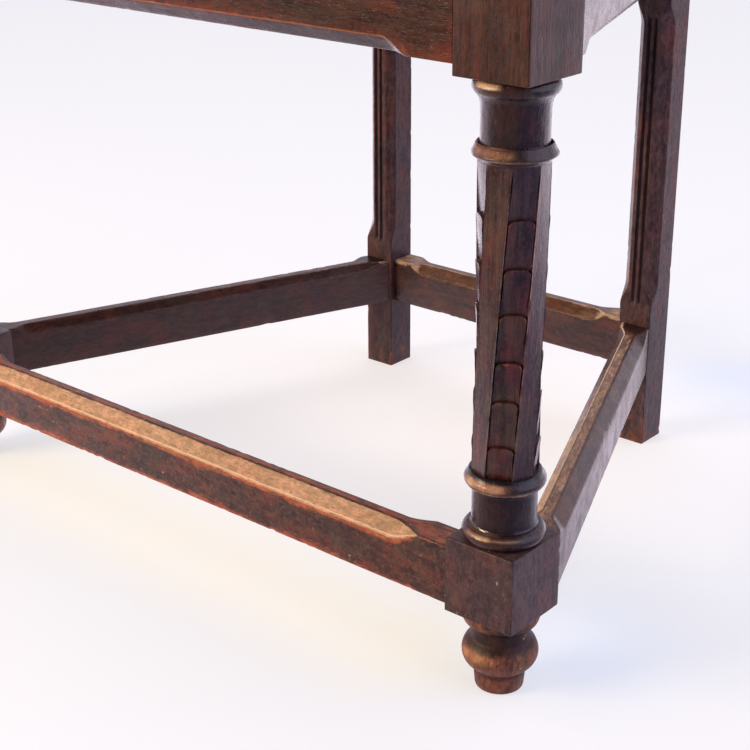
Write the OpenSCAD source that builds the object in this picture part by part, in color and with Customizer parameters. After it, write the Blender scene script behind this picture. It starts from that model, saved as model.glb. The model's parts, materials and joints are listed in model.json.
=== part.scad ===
// Caquetoire chair: a conversation armchair in oak with a trapezoid seat,
// turned and carved front posts, a ring of stretchers and a narrow panelled back.
// Every piece is its own module, drawn in the place it has in the joined chair.

/* [Front posts] */

// Side of the square blocks that take the rails and stretchers
block_s = 50; // [44:1:58]
// Height of the lower block's underside over the floor
block_z0 = 53.8; // [50:0.1:58]
// Height of the lower block's top
block_z1 = 104.5; // [102:0.1:110]
// Height of the upper block's underside
block_z2 = 381.6; // [370:0.1:396]
// Radius of the plain turned cylinders beside the carved shaft
column_r = 19.8; // [18:0.1:22]
// Radius across the corners of the eight-sided shaft
shaft_r = 20.7; // [19:0.1:23]
// Turn of the shaft from its bottom to its top, in degrees
shaft_twist = 33.5; // [0:0.5:45]
// Rows of carved scales on each scaled side
scale_rows = 7; // [5:1:9]
// How far a scale stands out at its rounded top
scale_rise = 1.8; // [0.8:0.1:2.6]
// Depth of the sunk panels behind the scales
panel_sink = 1.5; // [0.8:0.1:2.2]

/* [Plan of the chair] */

// Half the distance between the two front post centres
front_x = 267.7; // [250:0.1:290]
// Half the distance between the two back post centres
back_x = 136.4; // [128:0.1:146]
// Distance from the front post centres back to the back post centres
depth_y = 375.4; // [350:0.1:400]
// Side of the square back posts
post_s = 29; // [27:0.5:33]

/* [Stretchers and rails] */

// Underside of the four stretchers at the front blocks
str_z = 58.3; // [57:0.1:62]
// How much higher the stretchers sit at the back posts
str_rise = 5.2; // [0:0.1:6]
// Height of a stretcher
str_h = 39.7; // [34:0.1:42]
// Thickness of the stretchers and seat rails
bar_t = 23.5; // [21:0.5:25]
// Underside of the seat rails
rail_z = 388; // [384:0.5:396]
// Height of a seat rail
rail_h = 58; // [50:1:66]
// How much deeper the side rails are at the back posts
rail_drop = 11; // [0:0.5:14]
// Width of the stopped chamfers
chamfer = 8.5; // [5:0.5:9.5]
// Length of the lamb's tongue that ends a chamfer
tongue = 24; // [14:1:30]

/* [Seat] */

// Thickness of the seat boards
seat_t = 18; // [15:0.5:22]
// How far the seat stands out past the rails
seat_over = 15; // [10:1:20]
// Diameter of the pegs that hold the seat boards
peg_d = 7; // [6:0.5:8]

/* [Arms] */

// Height of the underside of the arms
arm_z = 664; // [640:1:690]
// Thickness of an arm
arm_t = 26; // [22:1:30]
// Width of an arm
arm_w = 38; // [34:1:42]
// How far an arm bows outwards from the straight line between its posts
arm_bow = 38; // [20:1:50]
// Radius of the round hand rest at the front of an arm
hand_r = 29; // [26:0.5:32]

/* [Back] */

// Backward lean of the back above the seat, in degrees
rake = 6; // [3:0.5:8]
// Length of the back posts above the seat rails
back_l = 650; // [620:5:680]
// Height of the lower back rail over the bend in the posts
low_rail = 92; // [85:1:110]
// Height of the middle back rail over the bend in the posts
mid_rail = 322; // [300:1:340]
// Height of a back rail
brail_h = 42; // [36:1:46]
// Thickness of the back rails
brail_t = 21; // [18:0.5:23]
// Thickness of the back panels at their edges
panel_t = 8; // [6:0.5:10]

/* [Fits] */

// Space on each side of a tenon in its mortise
fit = 0.1; // [0.05:0.05:0.3]
// Space around a loose panel in its grooves
panel_fit = 0.4; // [0.2:0.1:0.8]
// Space around the posts where they pass the seat
notch_fit = 0.3; // [0.2:0.1:0.8]

/* [Hidden] */

$fn = 64;

half_s = block_s / 2;
half_p = post_s / 2;
seat_z = rail_z + rail_h;
seat_top = seat_z + seat_t;
block_z3 = seat_top + 7;
kink = half_p * tan(rake / 2);

// Inner face of the back posts, and the mid plane of the bars between them
inner_x = back_x - half_p;
back_bar_y = depth_y + half_p - bar_t / 2;
front_bar_y = -half_s + bar_t / 2;

// Outer face line of the side bars, from front block to back post
side_x0 = front_x + half_s - 3.2;
side_x1 = back_x + half_p - 0.3;
side_y0 = half_s;
side_y1 = depth_y - half_p;
splay = atan((side_x0 - side_x1) / (side_y1 - side_y0));
side_l = (side_y1 - side_y0) / cos(splay);

// Top rail, whose tenons end a little under the pins of the finials
pin_r = 6.5;
pin_l = 16;
pin_gap = 3;
rail_shoulder = 7;
top_rail = back_l - pin_l - pin_gap - brail_h + rail_shoulder;

// Seat boards, their joints and their pegs
joint_1 = 96;
joint_2 = 236;
peg_l = 25;
peg_proud = 0.4;

// Crest
crest_t = 18;
crest_r = 66;
crest_base = 14;
boss_r = 16;
crest_ten_w = 120;
// Rays round the boss, from one distance to the other
ray_r0 = boss_r + 6;
ray_r1 = crest_r - 11;
// Scrolls at the foot of the crest, which run into its half disc
volute_r = 19;
volute_x = crest_r + volute_r - 4;
volute_z = crest_base + 7;

// Lozenge on the upper panel, half its width and half its height
lozenge_w = 46;
lozenge_h = 56;

// Carved shaft
shaft_z0 = 149.5;
shaft_z1 = 336.4;
shaft_h = shaft_z1 - shaft_z0;
// How far the shaft runs on inside the rings above and below it
shaft_in = 2.5;
scale_pitch = (shaft_h + 6) / scale_rows;
// How much lower a scale's corners lie than the middle of its rounded top
scale_round = 4.4;
shaft_a = shaft_r * cos(22.5);
// Half the width of a side between its grooves
shaft_w = shaft_a * tan(22.5) - 0.5;
// Depth of the grooves under the shaft's corners
groove_d = 1.9;
// Turn of the first scaled side at the foot of the shaft
shaft_turn = -67;

// Tenons
ten_t = 8;
ten_l = 22;
ten_back = 13;

// Arms
arm_pin_r = 9.5;
arm_pin_l = 17;
// Centre line of the right-hand arm, from the back post to over the front post
arm_y0 = depth_y + sin(rake) * (arm_z + arm_t / 2 - seat_z) - half_p;
arm_a = [back_x + 3, arm_y0];
arm_b = [front_x, 0];
arm_v = arm_b - arm_a;
arm_c = norm(arm_v);
arm_r = (arm_c * arm_c / 4 + arm_bow * arm_bow) / (2 * arm_bow);
arm_n = [-arm_v[1], arm_v[0]] / arm_c;
arm_m = (arm_a + arm_b) / 2 - arm_n * (arm_r - arm_bow) * (arm_n[0] > 0 ? 1 : -1);
arm_t0 = atan2(arm_b[1] - arm_m[1], arm_b[0] - arm_m[0]);
arm_t1 = atan2(arm_a[1] - arm_m[1], arm_a[0] - arm_m[0]);
hand_turn = 44 / arm_r * 180 / PI;
back_turn = 26 / arm_r * 180 / PI;
hand_t = arm_t0 - hand_turn;
hand_c = [arm_m[0] + arm_r * cos(hand_t), arm_m[1] + arm_r * sin(hand_t)];

// Finials
ball_r = 14.5;
ball_l = 35;

// Whole chair along Y, so that its middle is on the origin
reach_front = hand_c[1] - hand_r;
reach_back = depth_y + sin(rake) * (back_l + ball_l) + ball_r;
mid_y = (reach_front + reach_back) / 2;

oak_dark = [0.20, 0.13, 0.10];
oak_mid = [0.29, 0.18, 0.13];
oak_red = [0.36, 0.20, 0.14];

// A half-round ring of radius r and height h around a core, centred on z.
module bead(r, h, z) {
  translate([0, 0, z])
    rotate_extrude()
      translate([r - h / 2, 0])
        circle(d = h);
  translate([0, 0, z - h / 2 + 0.05])
    cylinder(r = r - h / 2, h = h - 0.1);
}

// A plain round length from z0 to z1.
module round_bar(r, z0, z1) {
  translate([0, 0, z0])
    cylinder(r = r, h = z1 - z0);
}

// A cone from radius ra at z0 to radius rb at z1.
module cone_bar(ra, rb, z0, z1) {
  translate([0, 0, z0])
    cylinder(r1 = ra, r2 = rb, h = z1 - z0);
}

// One S-shaped end of a stopped chamfer, as points from the arris down to the chamfer.
function tongue_points(x0, dir, d) = [
  for (i = [0 : 8])
    [x0 + dir * tongue * i / 8, d * (0.5 + 0.5 * cos(180 * i / 8))]
];

// Cutter for a stopped chamfer along X from x0 to x1, on an arris at y = 0, z = 0
// of a bar that lies towards -Y and -Z.
module stopped_chamfer(x0, x1, c) {
  d = c / sqrt(2);
  near = tongue_points(x0, 1, d);
  far = tongue_points(x1, -1, d);
  rotate([-45, 0, 0])
    translate([0, 0, -d])
      rotate([90, 0, 0])
        translate([0, 0, -20])
          linear_extrude(40)
            polygon(concat(
              [[x0, d + 12]],
              near,
              [for (i = [8 : -1 : 0]) far[i]],
              [[x1, d + 12]]
            ));
}

// The same cutter, turned for an arris that runs up along Z from z0 to z1,
// of a post that lies towards +Y and the given side of X.
module upright_chamfer(z0, z1, c, side) {
  mirror([side > 0 ? 0 : 1, 0, 0])
    rotate([0, -90, 0])
      rotate([-90, 0, 0])
        stopped_chamfer(z0, z1, c);
}

// One flute, with round ends, cut into a face at y = 0 from z0 to z1.
module flute(x, z0, z1, d) {
  translate([x, -0.2, z0])
    cylinder(d = d, h = z1 - z0);
  translate([x, -0.2, z0])
    sphere(d = d);
  translate([x, -0.2, z1])
    sphere(d = d);
}

// Two flutes side by side on the front face of a back post.
module flute_pair(z0, z1) {
  for (x = [-2.8, 2.8])
    flute(x, z0, z1, 2.9);
}

// Columns of points round the carved shaft, each [direction, place on its side, kind]:
// kind 0 is a plain side, 1 a scaled side and 2 the bottom of a groove between sides.
shaft_cols = [
  for (k = [0 : 3])
    each concat(
      [for (u = [-1, -0.85, -0.5, 0, 0.5, 0.85, 1]) [90 * k, u, 1]],
      [[90 * k + 22.5, 0, 2]],
      [for (u = [-1, 1]) [90 * k + 45, u, 0]],
      [[90 * k + 67.5, 0, 2]]
    )
];

// Height of the rounded top of a scale over the foot of the shaft.
function scale_top(i) = shaft_h + 1.4 - (scale_rows - 1 - i) * scale_pitch;

// Rows of points up the shaft, each [height, share of the scale's rise, share of its round].
shaft_rows = concat(
  [[-shaft_in, 0.1, 0], [scale_top(0) / 2, 0.5, 0.6], [scale_top(0), 1, 1]],
  [
    for (i = [1 : scale_rows - 2])
      each [
        [scale_top(i - 1) + 0.4, 0, 1],
        [(scale_top(i - 1) + scale_top(i)) / 2, 0.5, 1],
        [scale_top(i), 1, 1]
      ]
  ],
  [
    [scale_top(scale_rows - 2) + 0.4, 0, 1],
    [shaft_h - scale_pitch * 0.4, 0.5, 0.5],
    [shaft_h + shaft_in, 0.9, 0]
  ]
);

function shaft_point(c, r, side) =
  let (
    n = c[2] == 0 ? shaft_a : c[2] == 1 ? shaft_a - panel_sink + scale_rise * r[1] : shaft_r - groove_d,
    t = c[1] * shaft_w,
    z = c[2] == 1 ? r[0] - r[2] * scale_round * (1 - sqrt(1 - 0.95 * c[1] * c[1])) : r[0],
    a = c[0] + shaft_twist * z / shaft_h
  ) [n * cos(a) - t * sin(a), side * (n * sin(a) + t * cos(a)), z];

// A triangle's points, in the order that faces outwards on either side of the chair.
function facing(t, side) = side > 0 ? t : [t[0], t[2], t[1]];

// The twisted, eight-sided shaft: plain sides alternate with sides of lapped scales.
// It turns one way in the right-hand post and the other way in the left-hand post.
module carved_shaft(side) {
  nc = len(shaft_cols);
  nr = len(shaft_rows);
  polyhedron(
    points = concat(
      [for (r = shaft_rows) each [for (c = shaft_cols) shaft_point(c, r, side)]],
      [[0, 0, -shaft_in], [0, 0, shaft_h + shaft_in]]
    ),
    faces = concat(
      [
        for (j = [0 : nr - 2])
          each [
            for (i = [0 : nc - 1])
              each [
                facing([j * nc + i, (j + 1) * nc + i, (j + 1) * nc + (i + 1) % nc], side),
                facing([j * nc + i, (j + 1) * nc + (i + 1) % nc, j * nc + (i + 1) % nc], side)
              ]
          ]
      ],
      [for (i = [0 : nc - 1]) facing([nc * nr, i, (i + 1) % nc], side)],
      [
        for (i = [0 : nc - 1])
          facing([nc * nr + 1, (nr - 1) * nc + (i + 1) % nc, (nr - 1) * nc + i], side)
      ]
    )
  );
}

// Turned foot: pad, bun and shoulder under the lower block.
module turned_foot() {
  cone_bar(15.2, 16.7, 0, 15);
  bead(23.9, 23.7, 25.5);
  round_bar(18.8, 28, 46);
  bead(24.3, 17, block_z0 - 1.8);
}

// A ring turned to a profile of [radius, height] points, solid to the column's axis.
module ring(points) {
  rotate_extrude()
    polygon(concat([[0, points[0][1]]], points, [[0, points[len(points) - 1][1]]]));
}

// Lower ring of the column: worn to a slope above, rounded in below.
lower_ring = [
  [column_r, 138.2], [column_r + 0.6, 139.2], [column_r + 2.2, 139.8], [23.6, 141],
  [24.5, 142.6], [24.7, 144.4], [24.2, 145.9], [22.4, 148.4], [21.4, shaft_z0 + 0.4]
];

// Upper ring: a lip against the neck, a slope out to the rim and a hollow back to the shaft.
upper_ring = [
  [20.9, shaft_z1 - 0.4], [21.6, 337], [22.9, 338.2], [24.4, 339.3], [24.5, 340.3],
  [21.7, 345.5], [21.1, 345.9]
];

// Turned and carved column between the two blocks.
// The twist runs the other way in the left-hand post.
module column(side) {
  bead(25.6, 10.4, block_z1 + 4.8);
  round_bar(column_r, block_z1 - 1, 140);
  ring(lower_ring);
  translate([0, 0, shaft_z0])
    rotate(side > 0 ? shaft_turn : 180 - shaft_turn)
      carved_shaft(side);
  ring(upper_ring);
  round_bar(column_r - 0.3, 340, block_z2);
  cone_bar(column_r - 0.3, column_r + 1.6, 366.5, 371.5);
  bead(24.6, 10.2, block_z2 - 4.7);
}

// Turned arm support over the seat, with the round tenon that holds the arm.
module arm_support() {
  bead(22, 9.4, block_z3 + 4.3);
  round_bar(16.8, block_z3 - 1, block_z3 + 26);
  bead(20.6, 8, block_z3 + 29);
  cone_bar(17.4, 13.6, block_z3 + 32, arm_z - 34);
  bead(17.6, 7, arm_z - 31);
  round_bar(14.2, arm_z - 34, arm_z);
  bead(19.4, 9, arm_z - 4.5);
  round_bar(arm_pin_r, arm_z - 1, arm_z + arm_pin_l);
}

// A front post with its mortises, on the right for side 1 and on the left for side -1.
module front_post_body(side) {
  difference() {
    translate([side * front_x, 0, 0]) {
      turned_foot();
      translate([-half_s, -half_s, block_z0])
        cube([block_s, block_s, block_z1 - block_z0]);
      column(side);
      translate([-half_s, -half_s, block_z2])
        cube([block_s, block_s, block_z3 - block_z2]);
      arm_support();
    }
    mirror([side < 0 ? 1 : 0, 0, 0]) {
      front_tenon(str_z, str_h, fit);
      front_tenon(rail_z, rail_h, fit);
      side_front_tenon(str_z, str_h, str_rise, fit);
      side_front_tenon(rail_z, rail_h, -rail_drop, fit);
    }
  }
}

module front_post_right() {
  color(oak_dark)
    translate([0, -mid_y, 0])
      front_post_body(1);
}

module front_post_left() {
  color(oak_dark)
    translate([0, -mid_y, 0])
      front_post_body(-1);
}

// Tenons of the front bars, in the right-hand post.
module front_tenon(z, h, gap) {
  translate([front_x - half_s - 1, front_bar_y - ten_t / 2 - gap, z + 6 - gap])
    cube([ten_l + 1 + (gap > 0 ? 1 : 0), ten_t + 2 * gap, h - 12 + 2 * gap]);
}

// Tenons of the back bars, in the right-hand post.
module back_tenon(z, h, gap) {
  translate([inner_x - 1, back_bar_y + 1.5 - ten_t / 2 - gap, z + 6 - gap])
    cube([ten_back + 1 + (gap > 0 ? 1 : 0), ten_t + 2 * gap, h - 12 + 2 * gap]);
}

// Local frame of the right-hand side bars: X runs back along the outer face from
// height z at the front block, rising by rise to the back post, and Y points inwards.
module side_frame(z = 0, rise = 0) {
  translate([side_x0, side_y0, z])
    rotate(90 + splay)
      rotate([0, -atan(rise / side_l), 0])
        children();
}

module side_front_tenon(z, h, rise, gap) {
  intersection() {
    side_frame(z, rise)
      translate([-30, bar_t / 2 - ten_t / 2 - gap, 6 - gap])
        cube([42, ten_t + 2 * gap, h - 12 + 2 * gap]);
    translate([0, side_y0 - ten_l - (gap > 0 ? 1 : 0), z])
      cube([400, ten_l + 3, h]);
  }
}

module side_back_tenon(z, h, rise, gap) {
  intersection() {
    side_frame(z, rise)
      translate([side_l - 6, bar_t / 2 - ten_t / 2 - gap, 6 - gap])
        cube([32, ten_t + 2 * gap, h - 12 + 2 * gap]);
    translate([0, side_y1 - 2, z + rise])
      cube([400, ten_back + 2 + (gap > 0 ? 1 : 0), h]);
  }
}

// A side bar between the front block and the back post, square ended to both.
// It is cut level at a height of top.
module side_bar(z, h, rise, top) {
  intersection() {
    side_frame(z, rise)
      translate([-30, 0, 0])
        cube([side_l + 60, bar_t, h + abs(rise) + 4]);
    translate([0, side_y0, z - 20])
      cube([400, side_y1 - side_y0, top - z + 20]);
  }
  side_front_tenon(z, h, rise, 0);
  side_back_tenon(z, h, rise, 0);
}

module side_stretcher() {
  difference() {
    intersection() {
      side_bar(str_z, str_h, str_rise, str_z + str_h + str_rise + 2);
      side_frame(str_z, str_rise)
        translate([-60, -1, -1])
          cube([side_l + 120, bar_t + 2, str_h + 1]);
    }
    side_frame(str_z, str_rise) {
      translate([0, 0, str_h])
        rotate([0, 0, 180])
          stopped_chamfer(-side_l + 3, -9, chamfer);
      translate([0, bar_t, str_h])
        stopped_chamfer(16, side_l - 1, chamfer);
    }
  }
}

module side_rail() {
  difference() {
    side_bar(rail_z, rail_h, -rail_drop, seat_z);
    side_frame(rail_z, -rail_drop)
      rotate([180, 0, 0])
        stopped_chamfer(18, side_l - 18, chamfer);
    seat_peg_holes(fit);
  }
}

module side_stretcher_right() {
  color(oak_mid)
    translate([0, -mid_y, 0])
      side_stretcher();
}

module side_stretcher_left() {
  color(oak_mid)
    mirror([1, 0, 0])
      translate([0, -mid_y, 0])
        side_stretcher();
}

module side_rail_right() {
  color(oak_mid)
    translate([0, -mid_y, 0])
      side_rail();
}

module side_rail_left() {
  color(oak_mid)
    mirror([1, 0, 0])
      translate([0, -mid_y, 0])
        side_rail();
}

// A front bar with its two tenons.
module front_bar(z, h) {
  l = front_x - half_s;
  translate([-l, -half_s, z])
    cube([2 * l, bar_t, h]);
  front_tenon(z, h, 0);
  mirror([1, 0, 0])
    front_tenon(z, h, 0);
}

module front_stretcher() {
  l = front_x - half_s - 19;
  color(oak_mid)
    translate([0, -mid_y, 0])
      difference() {
        front_bar(str_z, str_h);
        translate([0, -half_s, str_z + str_h])
          rotate([0, 0, 180])
            stopped_chamfer(-l, l, chamfer);
        translate([0, -half_s + bar_t, str_z + str_h])
          stopped_chamfer(-l, l, chamfer);
      }
}

module front_rail() {
  l = front_x - half_s - 28;
  color(oak_red)
    translate([0, -mid_y, 0])
      difference() {
        front_bar(rail_z, rail_h);
        translate([0, -half_s, rail_z])
          rotate([180, 0, 0])
            stopped_chamfer(-l, l, chamfer + 0.5);
        seat_peg_holes(fit);
      }
}

// A back bar with its two tenons.
module back_bar(z, h) {
  translate([-inner_x, back_bar_y - bar_t / 2, z])
    cube([2 * inner_x, bar_t, h]);
  back_tenon(z, h, 0);
  mirror([1, 0, 0])
    back_tenon(z, h, 0);
}

module back_stretcher() {
  l = inner_x - 10;
  z = str_z + str_rise;
  color(oak_mid)
    translate([0, -mid_y, 0])
      difference() {
        back_bar(z, str_h);
        translate([0, back_bar_y - bar_t / 2, z + str_h])
          rotate([0, 0, 180])
            stopped_chamfer(-l, l, chamfer);
        translate([0, back_bar_y + bar_t / 2, z + str_h])
          stopped_chamfer(-l, l, chamfer);
      }
}

module back_rail() {
  color(oak_mid)
    translate([0, -mid_y, 0])
      difference() {
        back_bar(rail_z, rail_h);
        seat_peg_holes(fit);
      }
}

// Frame of the back above its bend: Z runs up along the leaning posts.
module raked() {
  translate([0, depth_y, seat_z])
    rotate([-rake, 0, 0])
      children();
}

// Side outline of a back post, upright to the seat and leaning back above it.
module post_outline() {
  top_y = sin(rake) * back_l;
  top_z = seat_z + cos(rake) * back_l;
  polygon([
    [-half_p, 0],
    [half_p, 0],
    [half_p, seat_z - kink],
    [top_y + half_p * cos(rake), top_z - half_p * sin(rake)],
    [top_y - half_p * cos(rake), top_z + half_p * sin(rake)],
    [-half_p, seat_z + kink]
  ]);
}

module back_post_body() {
  difference() {
    translate([back_x, depth_y, 0])
      rotate([90, 0, 90])
        translate([0, 0, -half_p])
          linear_extrude(post_s)
            post_outline();
    translate([back_x, depth_y - half_p, 0]) {
      translate([-half_p, 0, 0])
        upright_chamfer(117, 366, chamfer, 1);
      translate([half_p, 0, 0])
        upright_chamfer(117, 366, chamfer, -1);
      flute_pair(123, 350);
    }
    raked()
      translate([back_x, -half_p, 0]) {
        translate([half_p, 0, 0])
          upright_chamfer(46, 190, chamfer - 2, -1);
        translate([half_p, 0, 0])
          upright_chamfer(262, back_l - 16, chamfer - 2, -1);
        flute_pair(56, 182);
        flute_pair(272, back_l - 26);
        // Groove for the panels
        translate([-half_p - 1, half_p - panel_t / 2 - panel_fit / 2, low_rail + 4])
          cube([7.5, panel_t + panel_fit, top_rail - low_rail + 10]);
        // Hole for the finial
        translate([0, half_p, back_l - pin_l - 1])
          cylinder(r = pin_r + fit, h = pin_l + 4);
      }
    back_tenon(str_z + str_rise, str_h, fit);
    back_tenon(rail_z, rail_h, fit);
    side_back_tenon(str_z, str_h, str_rise, fit);
    side_back_tenon(rail_z, rail_h, -rail_drop, fit);
    back_frame_tenon(low_rail, fit);
    back_frame_tenon(mid_rail, fit);
    back_frame_tenon(top_rail, fit);
    arm_tenon(fit);
  }
}

module back_post_right() {
  color(oak_dark)
    translate([0, -mid_y, 0])
      back_post_body();
}

module back_post_left() {
  color(oak_dark)
    mirror([1, 0, 0])
      translate([0, -mid_y, 0])
        back_post_body();
}

// Tenon of a back rail, in the right-hand post.
module back_frame_tenon(z, gap) {
  raked()
    translate([inner_x - 1, -ten_t / 2 - gap, z + rail_shoulder - gap])
      cube([17 + (gap > 0 ? 1 : 0), ten_t + 2 * gap, brail_h - 2 * rail_shoulder + 2 * gap]);
}

// A rail of the back with tenons and panel grooves on the sides asked for.
module back_frame_rail(z, groove_low, groove_high) {
  translate([0, -mid_y, 0]) {
    difference() {
      raked()
        translate([-inner_x, -brail_t / 2, z])
          cube([2 * inner_x, brail_t, brail_h]);
      raked() {
        if (groove_low)
          translate([-inner_x - 1, -panel_t / 2 - panel_fit / 2, z - 1])
            cube([2 * inner_x + 2, panel_t + panel_fit, 7.5]);
        if (groove_high)
          translate([-inner_x - 1, -panel_t / 2 - panel_fit / 2, z + brail_h - 6.5])
            cube([2 * inner_x + 2, panel_t + panel_fit, 7.5]);
        for (dz = [9.5, brail_h - 9.5])
          translate([-inner_x - 1, -brail_t / 2 - 0.4, z + dz])
            rotate([0, 90, 0])
              cylinder(d = 3.4, h = 2 * inner_x + 2);
      }
    }
    back_frame_tenon(z, 0);
    mirror([1, 0, 0])
      back_frame_tenon(z, 0);
  }
}

module back_rail_lower() {
  color(oak_mid)
    back_frame_rail(low_rail, false, true);
}

module back_rail_middle() {
  color(oak_mid)
    back_frame_rail(mid_rail, true, true);
}

module back_rail_top() {
  color(oak_mid)
    difference() {
      back_frame_rail(top_rail, true, false);
      translate([0, -mid_y, 0])
        crest_tenon(fit);
    }
}

// Outer size of a panel between two rails.
module panel_board(z0, z1) {
  w = inner_x + 6 - panel_fit;
  translate([-w, -panel_t / 2, z0 - 6 + panel_fit])
    cube([2 * w, panel_t, z1 - z0 + 12 - 2 * panel_fit]);
}

// A raised strip of half-round section on the panel face, from one point to another.
module strip(xa, za, xb, zb, d) {
  l = norm([xb - xa, zb - za]);
  translate([xa, -panel_t / 2 - 0.6, za])
    rotate([0, atan2(xb - xa, zb - za), 0])
      cylinder(d = d, h = l);
}

module roundel(x, z, r) {
  translate([x, -panel_t / 2 + 0.5, z])
    rotate([90, 0, 0]) {
      cylinder(r = r, h = 2.6);
      translate([0, 0, 2.4])
        rotate_extrude()
          translate([r - 2.4, 0])
            circle(r = 2.2);
      cylinder(r = r * 0.36, h = 4.8);
      for (a = [0 : 45 : 315])
        rotate(a)
          translate([r * 0.5, 0, 2.5])
            sphere(r = r * 0.15);
    }
}

module back_panel_lower() {
  z0 = low_rail + brail_h;
  z1 = mid_rail;
  zc = (z0 + z1) / 2;
  w = inner_x - 20;
  h = (z1 - z0) / 2 - 18;
  color(oak_red)
    translate([0, -mid_y, 0])
      raked() {
        panel_board(z0, z1);
        translate([-inner_x + 12, -panel_t / 2 - 2.5, z0 + 12])
          cube([2 * inner_x - 24, 3, z1 - z0 - 24]);
        translate([0, -2.2, 0]) {
          strip(-w, zc, 0, zc + h, 5);
          strip(0, zc + h, w, zc, 5);
          strip(w, zc, 0, zc - h, 5);
          strip(0, zc - h, -w, zc, 5);
          roundel(0, zc, 21);
        }
      }
}

module back_panel_upper() {
  z0 = mid_rail + brail_h;
  z1 = top_rail;
  ra = 74;
  zs = z1 - ra - 24;
  color(oak_red)
    translate([0, -mid_y, 0])
      raked() {
        panel_board(z0, z1);
        // Round arch on two pilasters
        difference() {
          translate([-inner_x + 8, -panel_t / 2 - 5, z0 + 6])
            cube([2 * inner_x - 16, 6, z1 - z0 - 12]);
          translate([0, -panel_t / 2 + 2, zs])
            rotate([90, 0, 0])
              cylinder(r = ra, h = 20);
          translate([-ra, -panel_t / 2 - 20, z0 + 22])
            cube([2 * ra, 20 + 0.5, zs - z0 - 22]);
        }
        translate([0, -panel_t / 2 - 5, zs])
          rotate([90, 0, 0])
            rotate_extrude(angle = 180)
              translate([ra + 6, 0])
                circle(d = 6);
        for (s = [-1, 1]) {
          translate([s * (ra + 15), -panel_t / 2 - 5, z0 + 26])
            for (dx = [-7, 0, 7])
              translate([dx, 0, 4])
                cylinder(d = 4, h = zs - z0 - 38);
          translate([s * (ra + 15) - 15, -panel_t / 2 - 8.5, zs - 7])
            cube([30, 5, 9]);
          translate([s * (ra + 15) - 15, -panel_t / 2 - 8.5, z0 + 20])
            cube([30, 5, 9]);
        }
        roundel(0, zs, 24);
        strip(-lozenge_w, zs, 0, zs + lozenge_h, 4);
        strip(0, zs + lozenge_h, lozenge_w, zs, 4);
        strip(lozenge_w, zs, 0, zs - lozenge_h, 4);
        strip(0, zs - lozenge_h, -lozenge_w, zs, 4);
      }
}

// Tenon of the crest, in the top rail.
module crest_tenon(gap) {
  raked()
    translate([-crest_ten_w / 2 - gap, -ten_t / 2 - gap, top_rail + brail_h - ten_back - (gap > 0 ? 1 : 0)])
      cube([crest_ten_w + 2 * gap, ten_t + 2 * gap, ten_back + (gap > 0 ? 3 : 1)]);
}

module crest() {
  z = top_rail + brail_h;
  color(oak_dark)
    translate([0, -mid_y, 0]) {
      raked()
        difference() {
          union() {
            translate([-inner_x + 0.5, -crest_t / 2, z])
              cube([2 * inner_x - 1, crest_t, crest_base]);
            intersection() {
              translate([0, crest_t / 2, z + 10])
                rotate([90, 0, 0])
                  cylinder(r = crest_r, h = crest_t);
              translate([-2 * crest_r, -crest_t, z + 5])
                cube([4 * crest_r, 2 * crest_t, 2 * crest_r]);
            }
            for (s = [-1, 1])
              translate([s * volute_x, crest_t / 2, z + volute_z])
                rotate([90, 0, 0])
                  cylinder(r = volute_r, h = crest_t);
            translate([0, -crest_t / 2, z + crest_base])
              rotate([90, 0, 0])
                rotate_extrude(angle = 180)
                  translate([crest_r - 5, 0])
                    circle(d = 7);
          }
          for (a = [18 : 18 : 162])
            translate([0, -crest_t / 2 - 1.5, z + crest_base])
              rotate([0, 90 - a, 0])
                translate([0, 0, ray_r0])
                  cylinder(r1 = 1.8, r2 = 5.2, h = ray_r1 - ray_r0);
          for (s = [-1, 1])
            translate([s * volute_x, -crest_t / 2, z + volute_z])
              rotate([90, 0, 0])
                rotate_extrude()
                  translate([volute_r - 8, 0])
                    circle(d = 4);
        }
      raked()
        translate([0, -crest_t / 2 + 1, z + crest_base])
          rotate([90, 0, 0])
            intersection() {
              cylinder(r = boss_r, h = 5);
              translate([-2 * boss_r, 0, -1])
                cube([4 * boss_r, 2 * boss_r, 8]);
            }
      crest_tenon(0);
    }
}

module finial_body() {
  raked()
    translate([back_x, 0, back_l]) {
      round_bar(pin_r, -pin_l, 1);
      round_bar(13.5, 0, 6);
      bead(14.2, 6, 8.6);
      round_bar(8, 8, 22);
      bead(12, 6, 20);
      translate([0, 0, ball_l])
        sphere(r = ball_r);
      round_bar(6, 36, 54);
      bead(8, 6, 52);
      translate([0, 0, 60])
        sphere(r = 7.5);
    }
}

module finial_right() {
  color(oak_dark)
    translate([0, -mid_y, 0])
      finial_body();
}

module finial_left() {
  color(oak_dark)
    mirror([1, 0, 0])
      translate([0, -mid_y, 0])
        finial_body();
}

// Edge line of the seat from the left back to the right back corner:
// square to the front beside the blocks, then splayed.
function seat_edge(inset) =
  let (
    o = seat_over - inset,
    xf = front_x + half_s + o,
    xs = side_x0 + o / cos(splay),
    ym = side_y0 + (xs - xf) / tan(splay),
    xb = xs - (side_y1 - side_y0) * tan(splay)
  ) [
    [-xb, side_y1 - notch_fit],
    [-xf, ym],
    [-xf, -half_s - o],
    [xf, -half_s - o],
    [xf, ym],
    [xb, side_y1 - notch_fit]
  ];

// The back edge of the seat, between the two back posts.
seat_back_edge = [
  [inner_x - notch_fit, side_y1 - notch_fit],
  [inner_x - notch_fit, depth_y + half_p],
  [-inner_x + notch_fit, depth_y + half_p],
  [-inner_x + notch_fit, side_y1 - notch_fit]
];

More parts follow.
